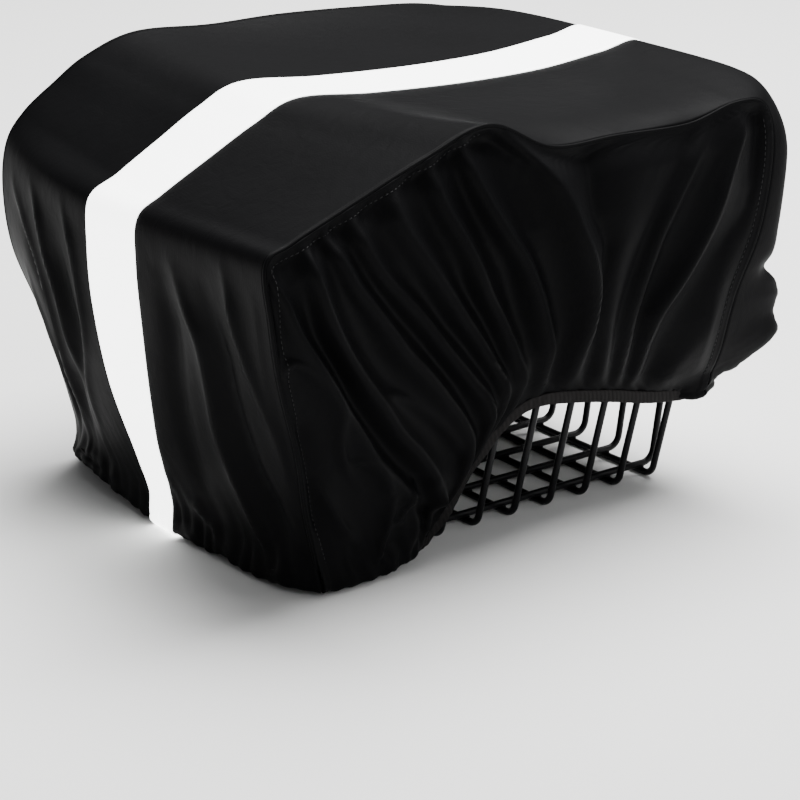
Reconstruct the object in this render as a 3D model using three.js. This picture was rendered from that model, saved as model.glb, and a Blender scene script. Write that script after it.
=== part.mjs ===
// Rain cover draped over a wire bicycle basket, in millimetres.
// +X points to the front of the bicycle, +Y to its far side and +Z up.
import * as THREE from 'three';
import { mergeVertices } from 'three/addons/utils/BufferGeometryUtils.js';

const { clamp, lerp } = THREE.MathUtils;

// Basket
const WIRE = 4;
const WIRE_SIDES = 8;
const GAP = 0.3;
const FLOOR_HALF_LENGTH = 124;
const FLOOR_HALF_WIDTH = 100;
const SIDE_FLARE = 0.27;
const END_FLARE = 0.155;
const BEND_RADIUS = 8;
const BEND_STEPS = 4;
const RIM_HEIGHT = 180;
const RIM_CORNER_RADIUS = 28;
const RIM_CORNER_STEPS = 6;
const CROSS_WIRES = { count: 10, pitch: 26 };
const LONG_WIRES = { count: 7, pitch: 30.5 };

// Cover
const CLOTH = 1.5;
const STRIP_THICKNESS = 1;
const PIPING_RADIUS = 2.2;
const PIPING_SIDES = 6;
const SEAM_MARGIN = 3.1;
const BINDING_WIDTH = 8;
const BINDING_THICKNESS = 2.4;
const HEM_LIFT = 1.2;
const HEM_GAP = 1.2;
const HEM_BLEND = 30;
const SEAM_BLEND = 18;
const EDGE_CLEARANCE = 2;
const RIM_BAND = 6;
const RIM_SLOPE = 0.4;
const EASE = 3;
const CORNER_POWER = 9;
const PROBE = 0.02;
const HEM_END_POWER = 8;
const RELAX_ROUNDS = 12;

// A fold reaches its full height in this share of its length from its upper end, and a fold of
// the centre panel fades in this share of the half width beside the seams
const FOLD_ONSET = 1 / 3;
const FOLD_FADE = 1 / 6;

// An edge of the centre panel turns squarely from this round on, and fully so this much above it
const SQUARE_FROM = 3;
const SQUARE_SPAN = 8;

// Mesh density
const ROWS_PER_SECTION = 2.6;
const ROW_SAMPLES = 40;
const FAR_SHARES = [1, 0.93, 0.8, 0.6, 0.4, 0.2, 0];
const NEAR_SHARES = [0, 0.2, 0.4, 0.6, 0.8, 0.9, 0.96, 1];
const MERGE = 1e-4;

// Sections of the centre panel, a row for each level from the rear hem over the top to the front
// hem. Far and near are the points on the two seams and mid is the point on the centre line. Hang
// is 1 where the panel hangs, lie is 1 where it lies, and round is how squarely each edge turns.
const SECTIONS = table(
  'name farX farY farZ midX midZ nearX nearY nearZ hang lie farRound nearRound stripHalf',
  [
    ['rear hem', -130, 127, 13, -150, 11, -139, -126, 11, 1, 0, 2, 1.5, 12],
    ['rear low', -134, 141, 50, -164, 50, -151, -131, 52, 1, 0, 2, 1.5, 14],
    ['rear middle', -144, 146, 90, -174, 88, -161, -139, 88, 1, 0, 2, 1.5, 21],
    ['rear high', -158, 150, 130, -180, 132, -177, -148, 132, 1, 0, 2, 1.5, 25],
    ['rear upper', -162, 151, 165, -182, 166, -185, -153, 165, 1, 0, 2, 1.5, 25],
    ['rear edge', -159, 150, 192, -180, 190, -187, -152, 196, 1, 1, 2, 1.5, 25],
    ['slope low', -147, 150, 208, -164, 200, -171, -151, 204, 0, 1, 2, 2, 25],
    ['slope middle', -127, 150, 222, -138, 214, -135, -150, 217, 0, 1, 2, 2, 25],
    ['slope high', -105, 150, 235, -110, 229, -88, -150, 234, 0, 1, 3, 2, 25],
    ['hump', -72, 149, 245, -84, 239, -47, -150, 245, 0, 1, 4, 3, 25],
    ['top rear', -21, 148, 243, -32, 235, -5, -149, 227, 0, 1, 4, 5, 25],
    ['top middle', 30, 148, 243, 33, 232, 40, -149, 226, 0, 1, 4, 6, 25],
    ['top front', 91, 148, 240, 90, 232, 90, -150, 225, 0, 1, 4, 8, 25],
    ['front rise', 138, 148, 236, 138, 236, 124, -150.5, 232, 0, 1, 4, 8, 25],
    ['front edge', 162, 147, 228, 166, 238, 145, -151.5, 228, 1, 1, 4, 14, 25],
    ['front high', 165, 150, 203, 168, 206, 149, -155, 203, 1, 0, 6, 18, 25],
    ['front middle', 160, 153, 160, 163, 160, 142, -155, 160, 1, 0, 8, 18, 25],
    ['front low', 154, 147, 120, 158, 118, 132, -148, 122, 1, 0, 8, 20, 25],
    ['front foot', 146, 135, 86, 153, 84, 131, -139, 88, 1, 0, 6, 18, 25],
    ['front hem', 127, 121, 62, 137, 63, 138, -125, 62, 1, 0, 6, 6, 25],
  ],
);
const REAR_EDGE = 5;
const FRONT_EDGE = 14;

// Lower edge of the binding, once round the cover. At is the section that it hangs from on the
// long sides and the share of the half width on the ends. Out is its distance from the wires.
const HEM = {
  near: table('at x out z', [
    [5.0, -138, 21, 3],
    [5.7, -127, 22, 2.5],
    [6.5, -113, 22, 2.5],
    [7.2, -98, 21, 3],
    [7.8, -84, 18, 4],
    [8.4, -70, 13, 4.5],
    [8.9, -57, 7, 5],
    [9.12, -51, 4.2, 8.5],
    [9.27, -46, 3, 11.8],
    [9.48, -40.5, 1.5, 18.7],
    [9.68, -36, 0.6, 28],
    [9.9, -30.5, 0, 40],
    [10.1, -23, 0, 50],
    [10.35, -13.5, 0, 63],
    [10.6, -2, 0, 71.5],
    [10.85, 10, 0, 73.8],
    [11.2, 27, 0, 72],
    [11.8, 61, 0, 65],
    [12.5, 92, 0, 57],
    [13.3, 116, 0, 53],
    [14.0, 139, 6, 56],
  ]),
  front: table('at y out z', [
    [1.0, -125, 2.8, 56],
    [0.93, -116, 10, 58],
    [0.8, -100, 11, 58],
    [0.55, -69, 2, 56],
    [0.0, 0, 0, 55],
    [-0.77, 92, 0, 53.5],
    [-0.9, 108, -2.5, 53],
    [-1.0, 120, -6.7, 53],
  ]),
  far: table('at x out z', [
    [14.0, 129, 2, 53],
    [12.5, 92, 3, 56],
    [11.2, 40, 4, 52],
    [10.0, -8, 6, 34],
    [9.0, -48, 10, 14],
    [8.0, -80, 16, 6],
    [6.5, -112, 21, 4],
    [5.0, -130, 22, 5],
  ]),
  rear: table('at y out z', [
    [-1.0, 127, 1.7, 5],
    [-0.88, 112, 11, 9],
    [-0.7, 88, 19, 12],
    [-0.43, 54, 21, 7],
    [-0.14, 17, 22, 2],
    [0.08, -10, 24, 2.5],
    [0.21, -26, 23, 3],
    [0.33, -42, 22, 1.5],
    [0.47, -59, 22, 4.5],
    [0.54, -68, 22, 2],
    [0.73, -92, 21, 2.5],
    [0.89, -112, 19, 4.5],
    [1.0, -125, 10, 3],
  ]),
};
const HEM_STEPS = { near: 52, front: 16, far: 20, rear: 30 };

// Distance of the hanging sides from the centre plane at each height
const BELLY = table('z out', [
  [0, 125],
  [40, 131],
  [75, 137],
  [110, 145],
  [150, 153],
  [180, 156.5],
  [210, 154],
  [250, 150],
]);

// Folds of the near side. Each runs from its upper end over a bend to its lower end, all in
// x and z. A negative height is a trough.
const NEAR_FOLDS = table('x0 z0 x1 z1 x2 z2 halfWidth height', [
  [-22, 228, 24, 156, 42, 86, 10, 7],
  [-63, 232, -29, 172, 17, 90, 9, 8],
  [-83, 225, -38, 143, -6, 86, 9, 7],
  [-108, 219, -66, 151, -22, 80, 10, 7],
  [-119, 191, -70, 135, -32, 70, 9, 5],
  [-157, 181, -120, 124, -52, 50, 10, 6],
  [-179, 178, -139, 120, -78, 40, 11, 6],
  [-173, 138, -145, 118, -118, 76, 9, 5],
  [112, 160, 85, 115, 63, 76, 11, 6],
  [139, 160, 152, 119, 130, 84, 15, 7],
  [-69, 238, -60, 195, -13, 110, 9, -6],
  [-49, 245, -2, 199, 23, 144, 11, -7],
  [27, 227, 30, 180, 52, 84, 9, -6],
  [117, 224, 80, 190, 57, 135, 10, -8],
  [89, 179, 66, 130, 55, 84, 9, -5],
  [128, 200, 108, 126, 78, 70, 11, -7],
]);

// Folds of the far side, which nothing shows, kept few and soft
const FAR_FOLDS = table('x0 z0 x1 z1 x2 z2 halfWidth height', [
  [-130, 200, -100, 120, -70, 40, 14, 6],
  [-50, 225, -30, 150, -20, 70, 14, 6],
  [40, 220, 40, 150, 30, 80, 14, 6],
  [110, 215, 95, 140, 80, 80, 14, 6],
]);

// Folds of the two hanging ends of the centre panel, in y and z
const REAR_FOLDS = table('y0 z0 y1 z1 y2 z2 halfWidth height', [
  [118, 180, 100, 110, 92, 30, 16, 4],
  [78, 170, 66, 100, 60, 20, 12, -4],
  [40, 165, 38, 90, 42, 15, 12, 3],
  [-48, 165, -44, 100, -50, 20, 12, -4],
  [-82, 175, -74, 100, -72, 15, 13, 4],
  [-112, 170, -100, 90, -92, 15, 13, -4],
]);
const FRONT_FOLDS = table('y0 z0 y1 z1 y2 z2 halfWidth height', [
  [90, 215, 80, 150, 75, 80, 16, 5],
  [10, 215, 5, 150, 0, 80, 16, -4],
  [-80, 215, -75, 150, -70, 80, 16, 5],
  [-138, 134, -142, 104, -130, 70, 16, 11],
]);

// The two side panels: which way they face, which end of a cross row they meet, and their mesh
const SIDES = {
  near: { name: 'right', sign: -1, share: 1, folds: NEAR_FOLDS, columns: 54, rows: 22 },
  far: { name: 'left', sign: 1, share: -1, folds: FAR_FOLDS, columns: 28, rows: 11 },
};

// Tables and curves

function table(columns, rows) {
  const names = columns.split(' ');
  return rows.map((row) => Object.fromEntries(names.map((name, i) => [name, row[i]])));
}

// Value of a column at a fractional row, on a smooth curve through the rows
function atRow(rows, column, position) {
  const i = clamp(Math.floor(position), 0, rows.length - 2);
  const t = position - i;
  const value = (k) => rows[clamp(k, 0, rows.length - 1)][column];
  const [a, b, c, d] = [value(i - 1), value(i), value(i + 1), value(i + 2)];
  const slopeB = (c - a) / 2;
  const slopeC = (d - b) / 2;
  return (2 * t ** 3 - 3 * t ** 2 + 1) * b + (t ** 3 - 2 * t ** 2 + t) * slopeB
    + (3 * t ** 2 - 2 * t ** 3) * c + (t ** 3 - t ** 2) * slopeC;
}

// Fractional row at which a rising or falling column reaches a value
function rowWhere(rows, column, wanted) {
  const rising = rows[rows.length - 1][column] > rows[0][column];
  const passed = (row) => (rising ? row[column] >= wanted : row[column] <= wanted);
  const next = rows.findIndex((row, i) => i > 0 && passed(row));
  if (next < 0) return rows.length - 1;
  const [before, after] = [rows[next - 1][column], rows[next][column]];
  return Math.max(0, next - 1 + (wanted - before) / (after - before));
}

function smooth(value) {
  const t = clamp(value, 0, 1);
  return t * t * (3 - 2 * t);
}

// Wires

// A path through given stations, so that a tube has one ring at each
class StationPath extends THREE.Curve {
  constructor(stations) {
    super();
    this.stations = stations;
  }

  getPoint(t, target = new THREE.Vector3()) {
    const last = this.stations.length - 1;
    const i = Math.min(Math.floor(t * last), last - 1);
    return target.lerpVectors(this.stations[i], this.stations[i + 1], t * last - i);
  }

  getPointAt(t, target) {
    return this.getPoint(t, target);
  }

  getTangentAt(t, target = new THREE.Vector3()) {
    const last = this.stations.length - 1;
    const i = Math.round(t * last);
    const before = this.stations[Math.max(i - 1, 0)];
    const after = this.stations[Math.min(i + 1, last)];
    return target.subVectors(after, before).normalize();
  }
}

// Tube through stations, with the flats of its section square to the path's plane
function tube(stations, radius, sides) {
  const corners = Array.from({ length: sides }, (_, k) => {
    const angle = ((k + 0.5) * 2 * Math.PI) / sides;
    const reach = radius / Math.cos(Math.PI / sides);
    return new THREE.Vector2(Math.cos(angle) * reach, Math.sin(angle) * reach);
  });
  return new THREE.ExtrudeGeometry(new THREE.Shape(corners), {
    steps: stations.length - 1,
    extrudePath: new StationPath(stations),
  });
}

// Half of a wire bent up at the end of the floor, from the floor to the rim
function bentWire(halfFloor, flare, height) {
  const turn = Math.atan2(1, flare);
  const corner = halfFloor + flare * height;
  const centre = corner - BEND_RADIUS * Math.tan(turn / 2);
  const reach = WIRE / 2 / Math.cos(Math.PI / WIRE_SIDES) + GAP;
  const top = RIM_HEIGHT - reach * Math.cos(Math.atan(flare));
  const points = Array.from({ length: BEND_STEPS + 1 }, (_, k) => {
    const angle = (turn * k) / BEND_STEPS;
    const across = centre + BEND_RADIUS * Math.sin(angle);
    return [across, height + BEND_RADIUS * (1 - Math.cos(angle))];
  });
  return [...points, [halfFloor + flare * top, top]];
}

function uWire(halfFloor, flare, height, place) {
  const half = bentWire(halfFloor, flare, height);
  const mirrored = half.map(([across, z]) => [-across, z]).reverse();
  return tube([...mirrored, ...half].map(place), WIRE / 2, WIRE_SIDES);
}

// The rim, a wire whose ends meet behind the basket
function rimWire() {
  const halfLength = FLOOR_HALF_LENGTH + END_FLARE * RIM_HEIGHT;
  const halfWidth = FLOOR_HALF_WIDTH + SIDE_FLARE * RIM_HEIGHT;
  const inX = halfLength - RIM_CORNER_RADIUS;
  const inY = halfWidth - RIM_CORNER_RADIUS;
  const stations = [new THREE.Vector3(-halfLength, GAP / 2, RIM_HEIGHT)];
  const corners = [[-1, 1], [1, 1], [1, -1], [-1, -1]];
  corners.forEach(([signX, signY], quarter) => {
    for (let k = 0; k <= RIM_CORNER_STEPS; k += 1) {
      const angle = Math.PI - (quarter + k / RIM_CORNER_STEPS) * (Math.PI / 2);
      stations.push(new THREE.Vector3(
        signX * inX + RIM_CORNER_RADIUS * Math.cos(angle),
        signY * inY + RIM_CORNER_RADIUS * Math.sin(angle),
        RIM_HEIGHT,
      ));
    }
  });
  stations.push(new THREE.Vector3(-halfLength, -GAP / 2, RIM_HEIGHT));
  return tube(stations, WIRE / 2, WIRE_SIDES);
}

// Cloth

// Height of all folds of a table at a point of their plane
function foldHeight(folds, [u, v], [keyU, keyV]) {
  return folds.reduce((sum, fold) => {
    const points = [0, 1, 2].map((k) => new THREE.Vector2(fold[keyU + k], fold[keyV + k]));
    let nearest = { distance: Infinity, along: 0 };
    for (let k = 0; k < 2; k += 1) {
      const run = points[k + 1].clone().sub(points[k]);
      const offset = new THREE.Vector2(u, v).sub(points[k]);
      const share = clamp(offset.dot(run) / run.lengthSq(), 0, 1);
      const distance = offset.sub(run.multiplyScalar(share)).length();
      if (distance < nearest.distance) nearest = { distance, along: (k + share) / 2 };
    }
    const profile = Math.exp(-((nearest.distance / fold.halfWidth) ** 2));
    return sum + fold.height * profile * Math.sqrt(smooth(nearest.along / FOLD_ONSET));
  }, 0);
}

// Nearest distance from the centre plane at which cloth clears the wires and the rim
function clearWidth(z) {
  const wall = FLOOR_HALF_WIDTH + SIDE_FLARE * z;
  const past = Math.max(0, Math.abs(z - RIM_HEIGHT) - RIM_BAND);
  const rim = FLOOR_HALF_WIDTH + SIDE_FLARE * RIM_HEIGHT - RIM_SLOPE * past;
  const solid = z > RIM_HEIGHT ? rim : Math.max(wall, rim);
  return solid + WIRE / 2 + EDGE_CLEARANCE + CLOTH / 2;
}

// The larger of two values, eased where they are close
function easedMax(a, b) {
  return (a + b + Math.hypot(a - b, EASE)) / 2;
}

// One point of the lower edge of the binding
function hemEdge(side, row) {
  const rows = HEM[side];
  const z = atRow(rows, 'z', row);
  const out = atRow(rows, 'out', row) + WIRE / 2 + GAP + BINDING_THICKNESS / 2;
  if (side === 'near' || side === 'far') {
    const y = FLOOR_HALF_WIDTH + SIDE_FLARE * z + out;
    return new THREE.Vector3(atRow(rows, 'x', row), side === 'near' ? -y : y, z);
  }
  const x = FLOOR_HALF_LENGTH + END_FLARE * z + out;
  return new THREE.Vector3(side === 'rear' ? -x : x, atRow(rows, 'y', row), z);
}

// The lower edge as a closed loop, each point with the directions away from the basket and up
// the cloth
function hemLoop() {
  const loop = Object.entries(HEM_STEPS).flatMap(([side, steps]) => (
    Array.from({ length: steps }, (_, k) => {
      const row = (k / steps) * (HEM[side].length - 1);
      return { side, at: atRow(HEM[side], 'at', row), edge: hemEdge(side, row) };
    })
  ));
  const neighbour = (k) => loop[(k + loop.length) % loop.length].edge;
  loop.forEach((point, k) => {
    const along = new THREE.Vector3().subVectors(neighbour(k + 1), neighbour(k - 1));
    point.outward = new THREE.Vector3(
      (point.edge.x / FLOOR_HALF_LENGTH) ** CORNER_POWER,
      (point.edge.y / FLOOR_HALF_WIDTH) ** CORNER_POWER,
      0,
    ).normalize();
    const lean = point.outward.clone().setZ(-SIDE_FLARE);
    point.up = new THREE.Vector3().crossVectors(lean, along).normalize();
    if (point.up.z < 0) point.up.negate();
  });
  return loop;
}

const LOOP = hemLoop();

// Upper edge of the binding, where the cloth begins
function clothHem(side, at) {
  const rows = LOOP.filter((point) => point.side === side);
  const following = LOOP[(LOOP.indexOf(rows[rows.length - 1]) + 1) % LOOP.length];
  const points = [...rows, { ...following, at: HEM[side][HEM[side].length - 1].at }];
  const row = rowWhere(points, 'at', at);
  const k = Math.min(Math.floor(row), points.length - 2);
  const ends = [k, k + 1].map((n) => (
    points[n].edge.clone().addScaledVector(points[n].up, BINDING_WIDTH + HEM_GAP)
      .addScaledVector(points[n].outward, HEM_LIFT)
  ));
  return ends[0].lerp(ends[1], row - k);
}

// Centre panel before it is fitted to the hem, at a section and a share of the half width
function centreShape(section, share) {
  const side = share < 0 ? 'far' : 'near';
  const value = (column) => atRow(SECTIONS, column, section);
  const s = Math.abs(share);
  const round = Math.max(1, value(`${side}Round`));
  const turned = s ** round;
  const square = smooth((round - SQUARE_FROM) / SQUARE_SPAN);
  return new THREE.Vector3(
    lerp(value('midX'), value(`${side}X`), lerp(s, turned, clamp(value('hang'), 0, 1))),
    value(`${side}Y`) * lerp(s, 1 - (1 - s) ** 2, square),
    lerp(value('midZ'), value(`${side}Z`), lerp(s, turned, clamp(value('lie'), 0, 1))),
  );
}

function centrePoint(section, share) {
  const last = SECTIONS.length - 1;
  const [end, side, fromEnd] = section < last / 2 ? [0, 'rear', section]
    : [last, 'front', last - section];
  const fade = Math.max(0, 1 - fromEnd) ** 2;
  const fit = clothHem(side, share).sub(centreShape(end, share));
  const point = centreShape(section, share).addScaledVector(fit, fade);
  const free = smooth(fromEnd) * smooth((1 - Math.abs(share)) / FOLD_FADE);
  const hanging = clamp(1 - atRow(SECTIONS, 'lie', section), 0, 1);
  const folds = side === 'rear' ? REAR_FOLDS : FRONT_FOLDS;
  const height = foldHeight(folds, [point.y, point.z], ['y', 'z']) * hanging * free;
  point.x += side === 'rear' ? -height : height;
  return point;
}

// Unit direction of a seam at a section, from the rear hem to the front hem
function seamDirection(section, share) {
  const before = centrePoint(Math.max(section - PROBE, 0), share);
  const after = centrePoint(Math.min(section + PROBE, SECTIONS.length - 1), share);
  return after.sub(before).normalize();
}

// One cross row of the centre panel, from the far seam to the near seam
function centreRow(section) {
  const half = atRow(SECTIONS, 'stripHalf', section);
  const across = (sign, shares) => {
    const line = Array.from({ length: ROW_SAMPLES + 1 }, (_, k) => (
      centrePoint(section, (sign * k) / ROW_SAMPLES)
    ));
    const lengths = [0];
    line.slice(1).forEach((p, k) => lengths.push(lengths[k] + p.distanceTo(line[k])));
    const end = line[ROW_SAMPLES].clone().sub(line[ROW_SAMPLES - 1]);
    const square = end.normalize().cross(seamDirection(section, sign)).length();
    const reach = lengths[ROW_SAMPLES] - SEAM_MARGIN / square;
    return shares.map((share) => {
      const wanted = half + share * (reach - half);
      const k = Math.max(1, lengths.findIndex((length) => length >= wanted));
      const part = (wanted - lengths[k - 1]) / (lengths[k] - lengths[k - 1]);
      return line[k - 1].clone().lerp(line[k], part);
    });
  };
  const middle = centrePoint(section, 0);
  return [...across(-1, FAR_SHARES), middle, ...across(1, NEAR_SHARES)];
}

// A point of a seam, moved into the side panel by the margin that the piping needs
function seamInset(side, section) {
  const { share } = SIDES[side];
  const along = seamDirection(section, share);
  const inward = new THREE.Vector3(along.z, 0, -along.x).normalize();
  return centrePoint(section, share).addScaledVector(inward, SEAM_MARGIN);
}

// A side panel stretched between its seams and its hem, at a share of its length and its drop
function stretchedPoint(side, along, down) {
  const top = (share) => seamInset(side, lerp(REAR_EDGE, FRONT_EDGE, share));
  const rear = (share) => seamInset(side, REAR_EDGE * (1 - share));
  const front = (share) => seamInset(side, lerp(FRONT_EDGE, SECTIONS.length - 1, share));
  const hemAt = (share) => clothHem(side, lerp(REAR_EDGE, FRONT_EDGE, share));
  const hem = hemAt(along)
    .addScaledVector(rear(1).sub(hemAt(0)), (1 - along) ** HEM_END_POWER)
    .addScaledVector(front(1).sub(hemAt(1)), along ** HEM_END_POWER);
  return top(along).multiplyScalar(1 - down).addScaledVector(hem, down)
    .addScaledVector(rear(down), 1 - along).addScaledVector(front(down), along)
    .addScaledVector(top(0), -(1 - along) * (1 - down))
    .addScaledVector(top(1), -along * (1 - down))
    .addScaledVector(rear(1), -(1 - along) * down)
    .addScaledVector(front(1), -along * down);
}

// A grid whose inner points have been drawn to the middle of their neighbours
function relaxed(grid) {
  return grid.map((row, j) => row.map((point, i) => {
    if (i === 0 || j === 0 || i === row.length - 1 || j === grid.length - 1) return point;
    return grid[j - 1][i].clone().add(grid[j + 1][i]).add(row[i - 1]).add(row[i + 1])
      .divideScalar(4);
  }));
}

// Mesh of a side panel, with its belly and its folds
function sideGrid(side) {
  const { columns, rows, sign, folds } = SIDES[side];
  let grid = Array.from({ length: rows + 1 }, (_, j) => (
    Array.from({ length: columns + 1 }, (__, i) => stretchedPoint(side, i / columns, j / rows))
  ));
  for (let round = 0; round < RELAX_ROUNDS; round += 1) grid = relaxed(grid);
  return grid.map((row) => row.map((point, i) => {
    const aboveHem = point.distanceTo(grid[rows][i]);
    const belowTop = point.distanceTo(grid[0][i]);
    const fromSeams = Math.min(point.distanceTo(row[0]), point.distanceTo(row[columns]));
    const free = smooth(aboveHem / HEM_BLEND) * smooth(fromSeams / SEAM_BLEND);
    const belly = atRow(BELLY, 'out', rowWhere(BELLY, 'z', point.z));
    let out = lerp(point.y * sign, belly, free * smooth(belowTop / SEAM_BLEND));
    out += foldHeight(folds, [point.x, point.z], ['x', 'z']) * free;
    const cleared = easedMax(out, clearWidth(point.z));
    const held = smooth((2 * aboveHem) / HEM_BLEND) * smooth(fromSeams / SEAM_BLEND);
    return new THREE.Vector3(point.x, sign * lerp(out, cleared, held), point.z);
  }));
}

// Unit normals of a grid of points, whose rows may each close on themselves
function gridNormals(grid, closed) {
  return grid.map((row, j) => row.map((point, i) => {
    const before = closed ? row[(i + row.length - 1) % row.length] : row[Math.max(i - 1, 0)];
    const after = closed ? row[(i + 1) % row.length] : row[Math.min(i + 1, row.length - 1)];
    const below = grid[Math.max(j - 1, 0)][i];
    const above = grid[Math.min(j + 1, grid.length - 1)][i];
    const along = new THREE.Vector3().subVectors(after, before);
    const across = new THREE.Vector3().subVectors(above, below);
    return along.cross(across).normalize();
  }));
}

// A closed sheet on a grid of points, from one offset along its normals to another
function sheet(grid, from, to, closed = false) {
  const normals = gridNormals(grid, closed);
  const rows = grid.length;
  const columns = grid[0].length;
  const positions = [from, to].flatMap((offset) => grid.flatMap((row, j) => row.flatMap((p, i) => (
    p.clone().addScaledVector(normals[j][i], offset).toArray()
  ))));
  const at = (layer, j, i) => (layer * rows + j) * columns + (i % columns);
  const index = [];
  const quad = (a, b, c, d) => index.push(a, b, c, a, c, d);
  const spans = closed ? columns : columns - 1;
  const point = (j, i) => grid[j][i % columns];
  for (let j = 0; j < rows - 1; j += 1) {
    for (let i = 0; i < spans; i += 1) {
      const corners = [[j, i], [j, i + 1], [j + 1, i + 1], [j + 1, i]];
      const [a, b, c, d] = corners.map(([m, n]) => point(m, n));
      if (b.distanceTo(d) < a.distanceTo(c)) corners.push(corners.shift());
      quad(...corners.map(([m, n]) => at(1, m, n)));
      const [first, ...others] = corners.map(([m, n]) => at(0, m, n));
      quad(first, ...others.reverse());
    }
  }
  for (let i = 0; i < spans; i += 1) {
    quad(at(0, 0, i), at(0, 0, i + 1), at(1, 0, i + 1), at(1, 0, i));
    quad(at(0, rows - 1, i + 1), at(0, rows - 1, i), at(1, rows - 1, i), at(1, rows - 1, i + 1));
  }
  for (let j = 0; j < rows - 1 && !closed; j += 1) {
    quad(at(0, j + 1, 0), at(0, j, 0), at(1, j, 0), at(1, j + 1, 0));
    quad(at(0, j, spans), at(0, j + 1, spans), at(1, j + 1, spans), at(1, j, spans));
  }
  const geometry = new THREE.BufferGeometry();
  geometry.setAttribute('position', new THREE.Float32BufferAttribute(positions, 3));
  geometry.setIndex(index);
  return geometry;
}

// Model

const cover = new THREE.Group();

function add(name, geometry, material) {
  const shape = geometry.clone();
  shape.deleteAttribute('normal');
  shape.deleteAttribute('uv');
  const mesh = new THREE.Mesh(mergeVertices(shape, MERGE), material);
  mesh.name = name;
  cover.add(mesh);
}

const materials = {
  wire: new THREE.MeshStandardMaterial({ color: 0x0c0c0d, roughness: 0.35, metalness: 0 }),
  cloth: new THREE.MeshStandardMaterial({ color: 0x141416, roughness: 0.55, metalness: 0 }),
  binding: new THREE.MeshStandardMaterial({ color: 0x1e1c1c, roughness: 0.8, metalness: 0 }),
  strip: new THREE.MeshStandardMaterial({ color: 0xf4f5f4, roughness: 0.4, metalness: 0 }),
};

for (let k = 0; k < CROSS_WIRES.count; k += 1) {
  const x = (k - (CROSS_WIRES.count - 1) / 2) * CROSS_WIRES.pitch;
  const place = ([across, z]) => new THREE.Vector3(x, across, z);
  add(`cross_wire_${k + 1}`, uWire(FLOOR_HALF_WIDTH, SIDE_FLARE, WIRE / 2, place), materials.wire);
}
for (let k = 0; k < LONG_WIRES.count; k += 1) {
  const y = (k - (LONG_WIRES.count - 1) / 2) * LONG_WIRES.pitch;
  const place = ([across, z]) => new THREE.Vector3(across, y, z);
  const height = WIRE * 1.5 + GAP;
  add(`long_wire_${k + 1}`, uWire(FLOOR_HALF_LENGTH, END_FLARE, height, place), materials.wire);
}
add('rim_wire', rimWire(), materials.wire);

const steps = Math.round((SECTIONS.length - 1) * ROWS_PER_SECTION);
const sectionAt = (k) => (k / steps) * (SECTIONS.length - 1);
const centreGrid = Array.from({ length: steps + 1 }, (_, k) => centreRow(sectionAt(k)));
add('centre_panel', sheet(centreGrid, -CLOTH / 2, CLOTH / 2), materials.cloth);

const stripGrid = centreGrid.map((row) => row.slice(FAR_SHARES.length - 1, FAR_SHARES.length + 2));
const stripFace = CLOTH / 2 + GAP;
add('reflective_strip', sheet(stripGrid, stripFace, stripFace + STRIP_THICKNESS), materials.strip);

Object.entries(SIDES).forEach(([side, { name, share }]) => {
  const grid = sideGrid(side);
  if (side === 'far') grid.forEach((row) => row.reverse());
  add(`side_panel_${name}`, sheet(grid, -CLOTH / 2, CLOTH / 2), materials.cloth);
  const seam = Array.from({ length: steps + 1 }, (_, k) => centrePoint(sectionAt(k), share));
  add(`piping_${name}`, tube(seam, PIPING_RADIUS, PIPING_SIDES), materials.cloth);
});

const bindingGrid = [BINDING_WIDTH, 0].map((rise) => (
  LOOP.map(({ edge, up }) => edge.clone().addScaledVector(up, rise))
));
const half = BINDING_THICKNESS / 2;
add('hem_binding', sheet(bindingGrid, -half, half, true), materials.binding);

const bounds = new THREE.Box3().setFromObject(cover);
const middle = bounds.getCenter(new THREE.Vector3());
cover.position.set(-middle.x, -middle.y, -bounds.min.z);

export default cover;
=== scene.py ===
"""Looks of a bicycle basket rain cover and of the wire basket under it.

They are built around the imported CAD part. +X points to the front of the bicycle, +Y to its left
side and +Z up. The tables are in millimetres from the middle of the basket floor, and what is
built from them is in metres in the CAD part's own frame.
"""

import logging
import math
from dataclasses import dataclass, field
from enum import Enum

import bmesh
import bpy
import numpy as np
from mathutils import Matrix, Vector


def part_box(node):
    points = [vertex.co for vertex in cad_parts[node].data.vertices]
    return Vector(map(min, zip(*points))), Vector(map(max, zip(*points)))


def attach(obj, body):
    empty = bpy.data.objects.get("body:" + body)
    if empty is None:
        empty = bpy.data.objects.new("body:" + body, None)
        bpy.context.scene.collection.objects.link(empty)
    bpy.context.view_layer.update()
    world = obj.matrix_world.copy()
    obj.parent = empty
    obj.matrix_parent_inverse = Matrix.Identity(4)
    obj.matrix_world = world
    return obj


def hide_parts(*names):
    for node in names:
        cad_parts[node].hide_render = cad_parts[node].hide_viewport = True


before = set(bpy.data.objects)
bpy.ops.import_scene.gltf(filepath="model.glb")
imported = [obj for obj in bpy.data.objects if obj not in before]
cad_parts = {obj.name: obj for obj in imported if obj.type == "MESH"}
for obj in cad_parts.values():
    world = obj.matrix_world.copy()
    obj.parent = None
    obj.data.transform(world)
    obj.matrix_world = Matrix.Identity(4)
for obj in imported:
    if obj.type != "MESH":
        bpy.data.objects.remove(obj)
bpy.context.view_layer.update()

log = logging.getLogger("rain_cover")

MM = 0.001
BODY = "root"


class Side(Enum):
    """The four stretches of the hem, of which near and far are also side panels."""

    NEAR = "near"
    FRONT = "front"
    FAR = "far"
    REAR = "rear"


# Sizes of the basket and the cover, as in the CAD part

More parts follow.
